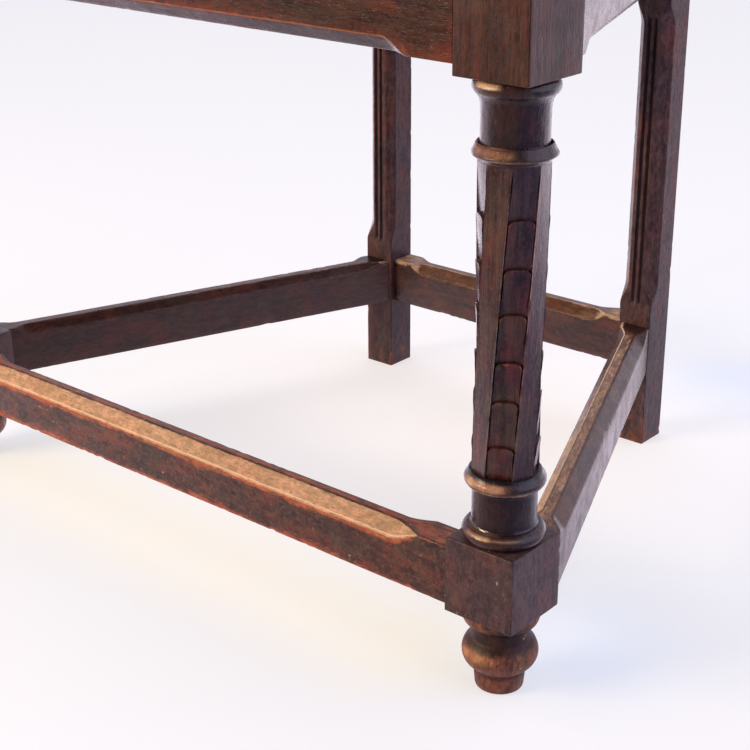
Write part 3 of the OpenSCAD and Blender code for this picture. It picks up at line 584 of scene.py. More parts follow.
class OakWorks:
    """Makes the chair's materials from node groups that they share."""

    def __init__(self) -> None:
        """Builds the node groups once."""
        self.grain = self.make_grain()
        self.wear = self.make_wear()
        self.dust = self.make_dust()
        self.made: dict[str, bpy.types.Material] = {}

    @staticmethod
    def make_grain() -> bpy.types.NodeTree:
        """Grain of old oak along Z under its wax.

        Returns:
            A group that takes Vector and gives, from 0 to 1, Streak for long lines,
            Pore for short dark ones, Mottle for small blotches, Red and Green for
            broad clouds of two tints, and Red Dab and Green Dab for small touches.
        """
        n, source = new_group("oak_grain")
        vector = source["Vector"]
        wobble = n.add("TexNoise", {"Vector": vector, "Scale": 9.0, "Detail": 1.0})
        bent = n.bend(vector, wobble, (0.012, 0.012, 0.0))
        shifted = n.add("Mapping", {"Vector": vector, "Location": (3.1, 1.7, 5.3)}).outputs[0]
        broad = n.noise(n.stretch(bent, 0.06), 150.0, 3.0, 0.6)
        fine = n.noise(n.stretch(bent, 0.04), 640.0, 2.0, 0.6)
        return n.give({
            "Streak": n.step(n.plus(n.times(broad, 0.55), n.times(fine, 0.45)), 0.38, 0.64),
            "Pore": n.step(n.noise(n.stretch(bent, 0.09), 1700.0, 1.0, 0.5), 0.58, 0.72),
            "Mottle": n.step(n.noise(n.stretch(bent, 0.5), 230.0, 5.0, 0.72), 0.36, 0.66),
            "Red": n.step(n.noise(n.stretch(vector, 0.6), 46.0, 5.0, 0.68), 0.44, 0.68),
            "Green": n.step(n.noise(shifted, 34.0, 4.0, 0.66), 0.45, 0.7),
            "Red Dab": n.step(n.noise(bent, 330.0, 3.0, 0.7), 0.52, 0.66),
            "Green Dab": n.step(n.noise(shifted, 360.0, 3.0, 0.7), 0.52, 0.66),
        })

    @staticmethod
    def make_wear() -> bpy.types.NodeTree:
        """Wear and the painted highlights it carries, broken into patches: a mark plus noise, cut at a level.

        Returns:
            A group that takes Vector, the rub, bare and worn marks and gives, from 0 to 1,
            the masks of rubbed and bared wood, both with painted highlights, of gilt and, where
            the bare mark passes 1, of painted highlight lines.
        """
        n, source = new_group("oak_wear", "Rub", "Bare", "Worn")
        vector = source["Vector"]
        rag = n.noise(n.stretch(vector, 0.4), 120.0, 5.0, 0.7)
        rag_fine = n.noise(n.stretch(vector, 0.3), 760.0, 3.0, 0.7)
        torn = n.plus(n.times(rag, 0.62), n.times(rag_fine, 0.38))
        rub = n.plus(source["Rub"], source["Worn"])
        return n.give({
            "Rubbed": n.step(n.plus(torn, n.times(rub, 0.5)), 0.63, 0.86),
            "Bared": n.step(n.plus(torn, n.times(source["Bare"], 0.6)), 0.68, 0.9),
            "Gilt": n.step(n.noise(vector, 70.0, 3.0, 0.6), 0.35, 0.65),
            "Fresh": n.step(source["Bare"], 1.05, 1.5),
        })

    @staticmethod
    def make_dust() -> bpy.types.NodeTree:
        """Small pale specks, thin scratches and dull patches in the wax.

        Returns:
            A group that takes Vector and gives Speck, Scratch and Dull, from 0 to 1.
        """
        n, source = new_group("oak_dust")
        vector = source["Vector"]
        ragged = n.add("TexNoise", {"Vector": vector, "Scale": 900.0, "Detail": 2.0})
        moved = n.bend(vector, ragged, (0.003, 0.003, 0.003))
        cells = n.add("TexVoronoi", {"Vector": n.stretch(moved, 0.55), "Scale": 240.0})
        pick = n.add("SeparateColor", {0: cells.outputs["Color"]}).outputs[0]
        slant = n.add("Mapping", {"Vector": vector, "Rotation": (0.6, 0.35, 0.9), "Scale": (1.0, 1.0, 0.03)})
        return n.give({
            "Speck": n.times(n.step(cells.outputs["Distance"], 0.22, 0.08), n.math("GREATER_THAN", pick, 0.91)),
            "Scratch": n.step(n.noise(slant.outputs[0], 900.0, 1.0, 0.5), 0.76, 0.8),
            "Dull": n.step(n.noise(vector, 60.0, 4.0, 0.65), 0.35, 0.7),
        })

    def material(self, finish: str, grain: Grain, shift: float, edge: bool = False) -> bpy.types.Material:
        """Makes, or finds again, the oak of a finish with its grain one way.

        Args:
            finish: Key of the finish.
            grain: Direction of the grain.
            shift: Distance in metres that sets one board's figure apart from the next.
            edge: Whether this is the rubbed edge of a piece rather than its faces.

        Returns:
            The material.
        """
        name = f"oak_{finish}_{grain.name.lower()}_{round(shift * 10)}{'_edge' if edge else ''}"
        if name in self.made:
            return self.made[name]
        look = FINISH[finish]
        mat = self.made[name] = bpy.data.materials.new(name)
        n = new_tree(mat)
        along = n.add("Mapping", {
            "Vector": n.add("TexCoord").outputs["Object"], "Rotation": grain.turn(),
            "Location": (shift, 0.7 * shift, 0.3 * shift),
        }).outputs[0]
        rub, bare, grime = (n.add("Attribute", attribute_name=key).outputs["Fac"] for key in MARKS)
        figure = n.add("Group", {"Vector": along}, node_tree=self.grain).outputs
        wear = n.add("Group", {
            "Vector": along, "Rub": EDGE_RUB if edge else rub, "Bare": bare, "Worn": look.worn,
        }, node_tree=self.wear).outputs
        dust = n.add("Group", {"Vector": along}, node_tree=self.dust).outputs
        # The soft share follows the rub mark smoothly; on turned rings it lays the painted highlights
        ragged = n.times(wear["Rubbed"], 1.0 - look.soft)
        rubbed = n.plus(ragged, n.times(rub, look.soft), clamp=True)
        colour = self.worn_colour(n, look, self.base_colour(n, look, figure), figure, wear, rubbed)
        pale = n.math("MAXIMUM", n.times(dust["Speck"], look.specks), n.times(dust["Scratch"], 0.16))
        colour = n.lay(
            colour, (n.times(figure["Pore"], 0.45), look.grime), (grime, look.grime), (pale, look.speck),
        )
        rough = n.plus(look.roughness, n.times(dust["Dull"], look.dull))
        rough = n.plus(rough, n.times(wear["Rubbed"], 0.1))
        rough = n.plus(rough, n.times(wear["Bared"], 0.3), clamp=True)
        height = n.math("SUBTRACT", n.times(figure["Mottle"], 0.5), n.times(figure["Pore"], 0.5))
        height = n.plus(height, n.times(figure["Streak"], 0.3))
        height = n.math("SUBTRACT", height, n.times(wear["Rubbed"], 0.25))
        bump = n.add("Bump", {"Strength": 0.5, "Distance": look.bump, "Height": height})
        n.close("Material", n.add("BsdfPrincipled", {
            "Base Color": colour, "Roughness": rough, "Normal": bump.outputs[0],
            "Specular IOR Level": look.shine,
        }))
        return mat

    @staticmethod
    def base_colour(n: Nodes, look: OakFinish, figure: bpy.types.NodeOutputs) -> Socket:
        """Mottles the four colours of waxed oak together.

        Args:
            n: The material's nodes.
            look: The finish.
            figure: Outputs of the grain group.

        Returns:
            The colour of the wood before its wear.
        """
        tone = n.plus(n.times(figure["Streak"], look.streaks), n.times(figure["Mottle"], 1.0 - look.streaks))
        reds = n.times(figure["Red"], n.plus(n.times(tone, 0.7), 0.3))
        greens = n.times(figure["Green"], n.plus(n.times(tone, 0.6), 0.3))
        reddish = n.times(figure["Red Dab"], n.plus(n.times(figure["Red"], 0.6), 0.15))
        return n.lay(
            look.dark,
            (tone, look.mid),
            (n.times(reds, look.redness * 1.6, clamp=True), look.red),
            (n.times(greens, look.greenness * 1.6, clamp=True), look.olive),
            (n.times(figure["Green Dab"], 0.7 * look.dabs), look.olive),
            (n.times(reddish, look.dabs), look.red),
        )

    @staticmethod
    def worn_colour(n: Nodes, look: OakFinish, colour: Socket, figure: bpy.types.NodeOutputs,
                    wear: bpy.types.NodeOutputs, mask: Socket) -> Socket:
        """Lays rubbed, golden and bare wood over the waxed colour, with the painted highlights that they carry.

        Args:
            n: The material's nodes.
            look: The finish.
            colour: The waxed colour.
            figure: Outputs of the grain group.
            wear: Outputs of the wear group.
            mask: Where the wood is rubbed, and where it carries a painted highlight, from 0 to 1.

        Returns:
            The colour with its wear and painted highlights.
        """
        plain = n.math("SUBTRACT", 1.0, figure["Mottle"])
        rubbed = n.lay(
            look.rubbed,
            (n.times(wear["Gilt"], look.golden), look.gilt),
            (n.times(plain, 0.55 * (1 - 0.8 * look.soft)), look.red),
        )
        bared_and_lit = n.lay(
            look.bare,
            (n.times(plain, 0.7), look.ashen),
            (n.times(figure["Green Dab"], 0.5), look.ashen),
            (n.times(figure["Green"], 0.35), look.ashen),
            (n.times(figure["Streak"], 0.2), look.rubbed),
            (wear["Fresh"], look.fresh),
        )
        return n.lay(colour, (n.times(mask, 0.85), rubbed), (wear["Bared"], bared_and_lit))


def make_piece(surface: Surface, name: str, sharp: float, material: bpy.types.Material,
               node: str) -> None:
    """Makes a new piece, with its body and the CAD node that it stands for.

    Args:
        surface: Shape and wear of the piece.
        name: Name of the piece.
        sharp: Angle in degrees past which an edge is shaded sharp.
        material: Material of the piece.
        node: CAD node that the piece replaces.
    """
    obj = surface.to_object(name, sharp)
    obj.data.materials.append(material)
    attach(obj, "root")
    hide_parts(node)
    log.info("%s: %d faces, for %s", obj.name, len(obj.data.polygons), node)


@dataclass
class Post:
    """A post of the chair, right for side 1 and left for side -1."""

    side: int
    works: OakWorks
    kind: ClassVar[str] = "post"

    @property
    def name(self) -> str:
        """Name of the CAD node."""
        return self.kind + ("_right" if self.side > 0 else "_left")

    def finish(self, surface: Surface, part: str, sharp: float, oak: str, shift: float) -> None:
        """Makes one of the post's pieces, with its grain upright.

        Args:
            surface: Shape and wear of the piece.
            part: Last part of the piece's name.
            sharp: Angle in degrees past which an edge is shaded sharp.
            oak: Key of the finish.
            shift: Distance in metres that sets its figure apart from other pieces'.
        """
        material = self.works.material(oak, Grain.UP, shift)
        make_piece(surface, f"{self.name}_{part}", sharp, material, self.name)


# Half the width in degrees of a band that goes all the way round
ALL_ROUND = 360.0


@dataclass(frozen=True)
class WearAndLightBand:
    """A patch on a turned piece, some heights over part of the way round: a rub band is
    wear and painted highlight, a grime band dirt and painted shade.

    The direction is in degrees from +X towards +Y, as on the right-hand post.
    """

    low: float
    high: float
    middle: float
    half: float
    amount: float = 1.0
    kind: str = "rub"
    soft: float = 0.8

    def mark(self, points: Array, side: int, half_gap: float) -> Array:
        """Strength of the band's wear, dirt and painted light: smooth steps in height times one in direction.

        Args:
            points: Points of the piece in mm.
            side: 1 for the right-hand post, -1 for the left-hand one.
            half_gap: Distance of the post's axis from the chair's middle.

        Returns:
            Numbers from 0 to amount on the grid.
        """
        x = side * points[..., 0] - half_gap
        turn = np.degrees(np.arctan2(points[..., 1], x))
        off = np.abs((turn - self.middle + 180) % 360 - 180)
        z = points[..., 2]
        height = smooth((z - self.low) / self.soft + 0.5) * smooth((self.high - z) / self.soft + 0.5)
        return self.amount * height * smooth((self.half - off) / (0.5 * self.half))


class Cut(IntEnum):
    """What a column of the carved shaft runs over."""

    PLAIN = 0
    SCALED = 1
    GROOVE = 2


@dataclass
class FrontPost(Post):
    """A turned and carved front post."""

    kind: ClassVar[str] = "front_post"
    half_gap: float = FRONT_X
    block: float = BLOCK
    low_block: Pair = (53.8, 104.5)
    high_block: Pair = (381.6, 471.0)
    plain_radius: float = 19.8
    shaft: Pair = (149.5, 336.4)
    shaft_radius: float = 20.7
    twist: float = 33.5
    turn: float = -67.0
    scales: int = 7
    scale_rise: float = 2.1
    scale_round: float = 3.6
    slips: tuple[float, ...] = (2.4, 1.2, 4.6, 3.6, 4.4, 4.2, 0.0)
    sink: float = 1.8
    groove: float = 1.4
    run_out: float = 9.0
    arm_height: float = 664.0

    @property
    def seed(self) -> int:
        """Seed of this post's knocks."""
        return 100 if self.side > 0 else 300

    def middle(self) -> Pair:
        """Place of the post's axis in mm."""
        return (self.side * self.half_gap, 0.0)

    def turned(self, name: str, profile: Array, finish: str, rub: float, grime: float,
               step: float, bands: tuple[WearAndLightBand, ...] = ()) -> None:
        """Makes a turned length from its profile.

        Args:
            name: Last part of the piece's name.
            profile: Rows of [height, radius] in mm.
            finish: Key of the finish.
            rub: How far the rims are rubbed.
            grime: How far the quirks between the mouldings are darkened.
            step: Longest distance between two rows.
            bands: Patches of wear and dirt, most also painted highlights and painted shade.
        """
        profile = spaced(profile, step)
        s = Surface.plain(ring_rows(profile, round_section(COLUMNS), self.middle()))
        rim = edge_of(profile)
        low = edge_of(profile * np.array([1.0, -1.0]))
        s.rub += rub * rim[:, None]
        s.grime += grime * low[:, None]
        for band in bands:
            mark = band.mark(s.points, self.side, self.half_gap)
            setattr(s, band.kind, np.maximum(getattr(s, band.kind), mark))
        s.weather(rim[:, None], self.seed + len(name), swell=0.15, nick=0.5)
        s.points[..., 2] = np.maximum(s.points[..., 2], 0.0)
        self.finish(s, name, 50, finish, 0.4 * self.side)

    def square(self, name: str, span: Pair, finish: str) -> None:
        """Makes a square block with eased, knocked arrises.

        Args:
            name: Last part of the piece's name.
            span: Heights of its underside and its top.
            finish: Key of the finish.
        """
        half, ease = self.block / 2, BLOCK_EASE
        flat = half - ease
        t = np.linspace(-1, 1, 27)[1:-1] * flat
        arc = np.linspace(0, math.pi / 2, 5)
        out, round_in = flat + ease * np.cos(arc), ease * (1 - np.sin(arc))
        side = np.concatenate([
            np.stack([np.full_like(t, half), t], -1), np.stack([out, flat + ease * np.sin(arc)], -1),
        ])
        corner = np.tile(np.concatenate([np.zeros(len(t)), np.ones(len(arc))]), 4)
        section = np.concatenate([
            side @ np.array([[math.cos(a), math.sin(a)], [-math.sin(a), math.cos(a)]])
            for a in np.arange(4) * math.pi / 2
        ]) / half
        z0, z1 = span
        low = np.stack([z0 + round_in, out], -1)[::-1]
        high = np.stack([z1 - round_in, out], -1)
        inner = np.array([[z0, 0.5], [z0, 8.0], [z0, 16.0]])
        outer = np.array([[z1, 16.0], [z1, 8.0], [z1, 0.5]])
        profile = spaced(np.concatenate([inner, low, high, outer]), 2.2)
        s = Surface.plain(ring_rows(profile, section, self.middle()))
        outside = profile[:, 1:2] > half - 2
        rim = outside & (np.abs(profile[:, :1] - np.array(span)).min(axis=1, keepdims=True) < 1.4)
        arris = np.maximum(rim, corner * outside)
        s.rub = 0.12 * arris
        s.weather(arris, self.seed + 40 + len(name), swell=0.15, nick=0.7)
        self.finish(s, name, 60, finish, 0.9 * self.side)

    @staticmethod
    def shaft_columns() -> Array:
        """Columns round the shaft, over the four quarters of its octagon.

        Returns:
            For each column its side's direction in degrees, its place from -1 to 1
            on that side and its Cut.
        """
        scaled = np.concatenate([[-1, -0.97, -0.9], np.linspace(-0.8, 0.8, 17), [0.9, 0.97, 1]])
        plain = np.concatenate([[-1, -0.97], np.linspace(-0.85, 0.85, 9), [0.97, 1]])
        cols = []
        for k in range(4):
            cols += [(90 * k, t, Cut.SCALED) for t in scaled] + [(90 * k + 22.5, 0, Cut.GROOVE)]
            cols += [(90 * k + 45, t, Cut.PLAIN) for t in plain] + [(90 * k + 67.5, 0, Cut.GROOVE)]
        return np.array(cols, float)

    def shaft_rows(self, height: float) -> Array:
        """Rows up the shaft, scale by scale.

        Each scale's top sits lower than an even spacing by its own slip. The lowest
        scale starts level, and the highest one ends level under the ring.

        Args:
            height: Height of the shaft in mm.

        Returns:
            For each row its height in mm, the share of its scale's rise that is
            reached there and how far the row bends, from 0 to 1.
        """
        pitch = (height + 6) / self.scales
        tops = height + 1.4 - (self.scales - 1 - np.arange(self.scales)) * pitch - np.array(self.slips)
        rows, low = [(-2.0, 0.25, 0.0)], 0.0
        for i, top in enumerate(tops[:-1]):
            share = np.linspace(0, 1, 13) ** 1.15
            lean = np.ones(13) if i else share
            rows += [(low + 0.3 + (top - low - 0.3) * s, s**0.75, r) for s, r in zip(share, lean)]
            low = top
        share = np.linspace(0, 1, 12)
        rows += [(low + 0.3 + (height + 2 - low - 0.3) * s, 0.9 * s**0.75, 1 - s) for s in share]
        return np.array(rows)

    def carved_shaft(self) -> None:
        """Makes the twisted shaft: plain sides between sides of lapped scales.

        At a place t on a scaled side the wood lies at apothem - sink + rise x share,
        and its rows bend down to the sides by round x (1 - sqrt(1 - t^4)).
        """
        z0 = self.shaft[0]
        height = self.shaft[1] - z0
        apothem = self.shaft_radius * math.cos(math.radians(22.5))
        half = apothem * math.tan(math.radians(22.5)) - 0.5
        level, rise, bent = self.shaft_rows(height).T[..., None]
        turn, t, kind = self.shaft_columns().T[:, None]
        scale, groove = kind == Cut.SCALED, kind == Cut.GROOVE
        arch = self.scale_round * (1 - np.sqrt(1 - 0.97 * t**4)) * bent
        z = level - scale * arch
        belly = 1 - t * t
        # The grooves run out just under the upper ring
        shallow = smooth((height - level) / self.run_out)
        depth = np.where(scale, self.sink - self.scale_rise * rise - 0.4 * belly, -0.15 * belly)
        normal = np.where(groove, self.shaft_radius - self.groove * shallow, apothem - depth)
        across = np.where(groove, 0.0, t * half)
        angle = np.radians(turn + self.twist * z / height + self.turn)
        x = normal * np.cos(angle) - across * np.sin(angle)
        y = normal * np.sin(angle) + across * np.cos(angle)
        x0, y0 = self.middle()
        s = Surface.plain(np.stack([x0 + self.side * x, y0 + y, z0 + z], -1))
        # The rub on the scales' lips and on the arrises is wear and also a painted highlight; the grime in the
        # grooves, at the foot of each scale and lightly over the scaled sides is painted shade
        lip = scale * smooth((rise - 0.86) / 0.14)
        edge = ~groove * smooth((abs(t) - 0.85) / 0.12)
        s.rub = unit(0.36 * lip + 0.14 * edge)
        foot = scale * (1 - smooth(rise / 0.1))
        s.grime = unit(0.9 * groove * shallow + 0.4 * foot + 0.12 * scale)
        s.weather(np.maximum(lip, edge), self.seed + 5, swell=0.2, nick=0.45)
        self.finish(s, "shaft", 48, "shaft", 1.3 * self.side)

    def build(self) -> None:
        """Makes the whole post, from its foot to the neck under the arm."""
        (b0, b1), (h0, h1), (z0, z1) = self.low_block, self.high_block, self.shaft
        r, a = self.plain_radius, self.arm_height
        foot = np.concatenate([
            [[0, 14.2], [0.6, 15.0], [1.8, 15.4], [13.6, 16.6]],
            bead(25.5, 24.0, 24.4, 25)[3:-5],
            [[36.2, 18.7], [37.6, 18.5], [41.0, 18.5], [43.0, 18.9], [44.4, 19.6]],
            bead(b0 - 1.8, 24.4, 17.0, 19)[5:12],
            [[b0 + 1, 23.6]],
        ])
        # The foot's rub bands on the front-left, towards the warm lamp, are wear and painted highlight; its grime
        # bands, under the bun, round its top and on its side away from that lamp, are dirt and painted shade
        self.turned("foot", foot, "foot", 0.3, 0.5, 1.6, (
            WearAndLightBand(31.5, 46.0, 0, ALL_ROUND, 0.8, "grime", 5.0),
            WearAndLightBand(33.0, 50.0, -20, 70, 0.85, "grime", 6.0),
            WearAndLightBand(25.0, 32.0, -98, 44, 0.6, "rub", 7.0), WearAndLightBand(11.0, 14.0, 0, ALL_ROUND, 0.7, "grime", 3.0),
            WearAndLightBand(16.0, 20.0, -60, 80, 0.3, "rub", 4.0), WearAndLightBand(0.0, 1.6, -60, 90, 0.5),
        ))
        self.square("low_block", self.low_block, "block")
        base = np.concatenate([
            bead(b1 + 4.8, 25.6, 10.4, 21),
            [[b1 + 10.2, r + 0.9], [b1 + 11.4, r + 0.2], [b1 + 13, r], [136.6, r], [138.4, r + 0.3]],
            [[139.2, r + 0.8], [139.8, 22.0], [140.6, 23.3], [141.8, 24.2], [143.2, 24.7], [144.6, 24.7]],
            [[145.8, 24.3], [146.8, 23.6], [148.4, 22.5], [149.2, 22.1], [z0 + 0.4, 21.3]],
            [[z0 + 0.5, self.shaft_radius - 2.5]],
        ])
        # Rub bands on the bead and the lower ring, towards the warm lamp, are wear and painted highlights; the
        # grime bands at the ring's joint with the shaft and under its widest are painted shade
        self.turned("base", base, "turned", 0.04, 0.6, 1.2, (
            WearAndLightBand(143.2, 147.8, -92, 52, 0.8, soft=2.4), WearAndLightBand(140.6, 142.6, -64, 70, 0.45),
            WearAndLightBand(114.2, 115.2, -98, 44, 0.4), WearAndLightBand(111.2, 113.2, -96, 30, 0.8, soft=1.8),
            WearAndLightBand(111.6, 112.8, -52, 30, 0.4, soft=1.2),
            WearAndLightBand(148.4, 150.0, -60, 120, 0.9, "grime"), WearAndLightBand(141.8, 143.0, -70, 90, 0.35, "grime"),
        ))
        self.carved_shaft()
        neck = np.array([
            [z1 - 0.6, self.shaft_radius - 2.5], [z1 - 0.5, 20.9], [336.6, 21.3], [337.4, 22.0], [338.4, 23.2],
            [339.2, 24.2], [339.8, 24.5], [340.5, 24.4], [342.6, 23.2], [345.2, 21.9], [345.8, 21.5],
            [346.0, 21.0], [345.6, 20.4], [344.8, 19.9], [345.4, 19.5], [364.0, 19.5], [367.0, 19.7], [369.4, 20.3],
            [371.2, 21.3],
        ])
        neck = np.concatenate([neck, bead(h0 - 4.7, 24.6, 10.2, 17)[3:]])
        # Rub bands on the upper ring, towards the warm lamp, are wear and painted highlights; the collar's band is
        # a painted highlight
        self.turned("neck", neck, "turned", 0.04, 0.6, 1.2, (
            WearAndLightBand(345.2, 346.4, -108, 60, 0.45), WearAndLightBand(340.8, 345.0, -92, 46, 0.5, soft=2.4),
            WearAndLightBand(341.6, 344.4, -78, 22, 0.5, soft=1.8),
            WearAndLightBand(338.4, 339.8, -75, 60, 0.4), WearAndLightBand(377.6, 380.4, -98, 28, 0.85, soft=1.8),
        ))
        self.square("high_block", self.high_block, "high_block")
        support = np.concatenate([
            bead(h1 + 4.3, 22.0, 9.4),
            [[h1 + 9.4, 17.4], [h1 + 11, 16.8], [h1 + 24, 16.8]],
            bead(h1 + 29, 20.6, 8.0, 11),
            [[h1 + 34, 17.3], [a - 36, 13.7]],
            bead(a - 31, 17.6, 7.0, 11),
            [[a - 27, 14.2], [a - 10, 14.2]],
            bead(a - 4.5, 19.4, 9.0),
        ])
        self.turned("arm_support", support, "turned", 0.4, 0.5, 2.4)


class Spot(IntEnum):
    """Corners of a bar's section, going round it, and then the faces between them."""

    OUTER_LOW = 0
    INNER_LOW = 1
    INNER_HIGH = 2
    OUTER_HIGH = 3
    UNDERSIDE = 4
    INNER_FACE = 5
    TOP = 6
    OUTER_FACE = 7


@dataclass(frozen=True)
class Chamfer:
    """A stopped chamfer: where its lamb's tongues start and end, in mm along the bar."""

    start: float
    end: float
    width: float = 8.5
    tongue: float = 22.0

    def leg(self, x: Array) -> Array:
        """Width of the chamfer on each face: an S-curve in at each end."""
        rise = unit(np.minimum(x - self.start, self.end - x) / self.tongue)
        return self.width * (0.5 - 0.5 * np.cos(math.pi * rise))


@dataclass
class SquareBar:
    """A squared length of oak with stopped chamfers on its arrises.

    In its own frame a bar runs along X from 0; Y runs across it from the outer face
    and Z up. Its chamfers are listed by the corner that they cut.
    """

    length: float
    thick: float
    high: float
    chamfers: dict[int, list[Chamfer]] = field(default_factory=dict)
    ease: float = 0.7
    rounding: float = 1.0
    seed: int = 1
    swell: float = 0.15
    nick: float = 0.6
    step: float = 2.2
    across: int = 9

    def stations(self) -> Array:
        """Places along the bar where its section is worked out."""
        return np.linspace(0, self.length, max(8, round(self.length / self.step)) + 1)

    def section(self, x: Array) -> tuple[Array, Array, Array, Array]:
        """Works out the section at each station.

        Each corner is cut back by its leg on both faces, and the two arrises that
        leaves are rounded by short curves: (1-t)^2 a + 2t(1-t) b + t^2 c.

        Args:
            x: Stations in mm.

        Returns:
            Points of shape (stations, columns, 2), a mask of the arrises, a mask of
            the chamfers, and the Spot of each column.
        """
        corners = np.array([[0, 0], [self.thick, 0], [self.thick, self.high], [0, self.high]], float)
        going = np.array([[1, 0], [0, 1], [-1, 0], [0, -1]], float)
        t = np.linspace(0, 1, 4)[None, :, None]
        u = np.linspace(0, 1, 7)[None, 1:-1, None]

        def curve(p: Array, q: Array, s: Array) -> Array:
            """Short curve from p by way of q to s."""
            return (1 - t) ** 2 * p[:, None] + 2 * t * (1 - t) * q[:, None] + t * t * s[:, None]

        bodies, cuts = [], []
        for i, corner in enumerate(corners):
            legs = [c.leg(x) for c in self.chamfers.get(i, [])]
            leg = np.maximum.reduce([np.full_like(x, self.ease), *legs])[:, None]
            a, b = corner - leg * going[i - 1], corner + leg * going[i]
            slope = np.linalg.norm(b - a, axis=1, keepdims=True)
            w, r = (b - a) / slope, np.minimum(self.rounding, 0.45 * slope)
            first = curve(a - r * going[i - 1], a, a + r * w)
            second = curve(b - r * w, b, b + r * going[i])
            flat = first[:, -1:] * (1 - u) + second[:, :1] * u
            bodies.append(np.concatenate([first, flat, second], axis=1))
            cuts.append(smooth((leg - 1.0) / 1.2))
        # Arrises and slope over the 13 columns of a chamfered corner
        edges = np.array([0.6, 1, 1, 0.6, 0, 0, 0, 0, 0, 0.6, 1, 1, 0.6])
        sloping = np.array([0, 0, 0.5, 1, 1, 1, 1, 1, 1, 1, 0.5, 0, 0])
        u = np.linspace(0, 1, self.across + 2)[None, 1:-1, None]
        zero = np.zeros((len(x), self.across))
        points, arris, chamfered, place = [], [], [], []
        for i, (body, cut) in enumerate(zip(bodies, cuts)):
            points += [body, body[:, -1:] * (1 - u) + bodies[(i + 1) % 4][:, :1] * u]
            arris += [np.where(cut > 0.3, edges, 1.0), zero]
            chamfered += [sloping * cut, zero]
            place += [i] * len(edges) + [Spot.UNDERSIDE + i] * self.across
        return (*(np.concatenate(part, axis=1) for part in (points, arris, chamfered)), np.array(place))

    def surface(self) -> tuple[Surface, Array, Array, Array, Array]:
        """Carries the section along the bar.

        Returns:
            The surface in the bar's own frame, the stations on the grid, the arris
            mask, the chamfer mask and the columns' Spots.
        """
        x = self.stations()
        yz, arris, cut, place = self.section(x)
        xs = np.broadcast_to(x[:, None, None], (*yz.shape[:2], 1))
        s = Surface.plain(np.concatenate([xs, yz], axis=2))
        s.rub = 0.15 * arris
        return s, xs[..., 0], arris, cut, place


@dataclass
class Frame:
    """A place and a turn that take a bar from its own frame to the chair's."""

    origin: Place
    turn: float = 0.0
    mirror: bool = False
    skew: float = 0.0
    rise: float = 0.0
    drop: float = 0.0
    high: float = 1.0

    def place(self, points: Array, length: float) -> Array:
        """Moves points from the bar's frame to the chair's.

        The ends of a bar that meets its posts at a slant are slid along it by
        y x skew, which fades out over the FADE. The bar rises by rise over its
        length, and its underside drops by drop while its top stays level.

        Args:
            points: Points in the bar's frame.
            length: Length of the bar.

        Returns:
            Points in the chair's frame, in mm.
        """
        x, y, z = points[..., 0], points[..., 1], points[..., 2]
        share = x / length
        z = z + self.rise * share - self.drop * share * (1 - z / self.high)
        x = x + y * self.skew * near_ends(x, length, FADE, FADE)
        c, s = math.cos(self.turn), math.sin(self.turn)
        out = np.stack([
            self.origin[0] + c * x - s * y, self.origin[1] + s * x + c * y, self.origin[2] + z,
        ], -1)
        if self.mirror:
            out[..., 0] *= -1
        return out


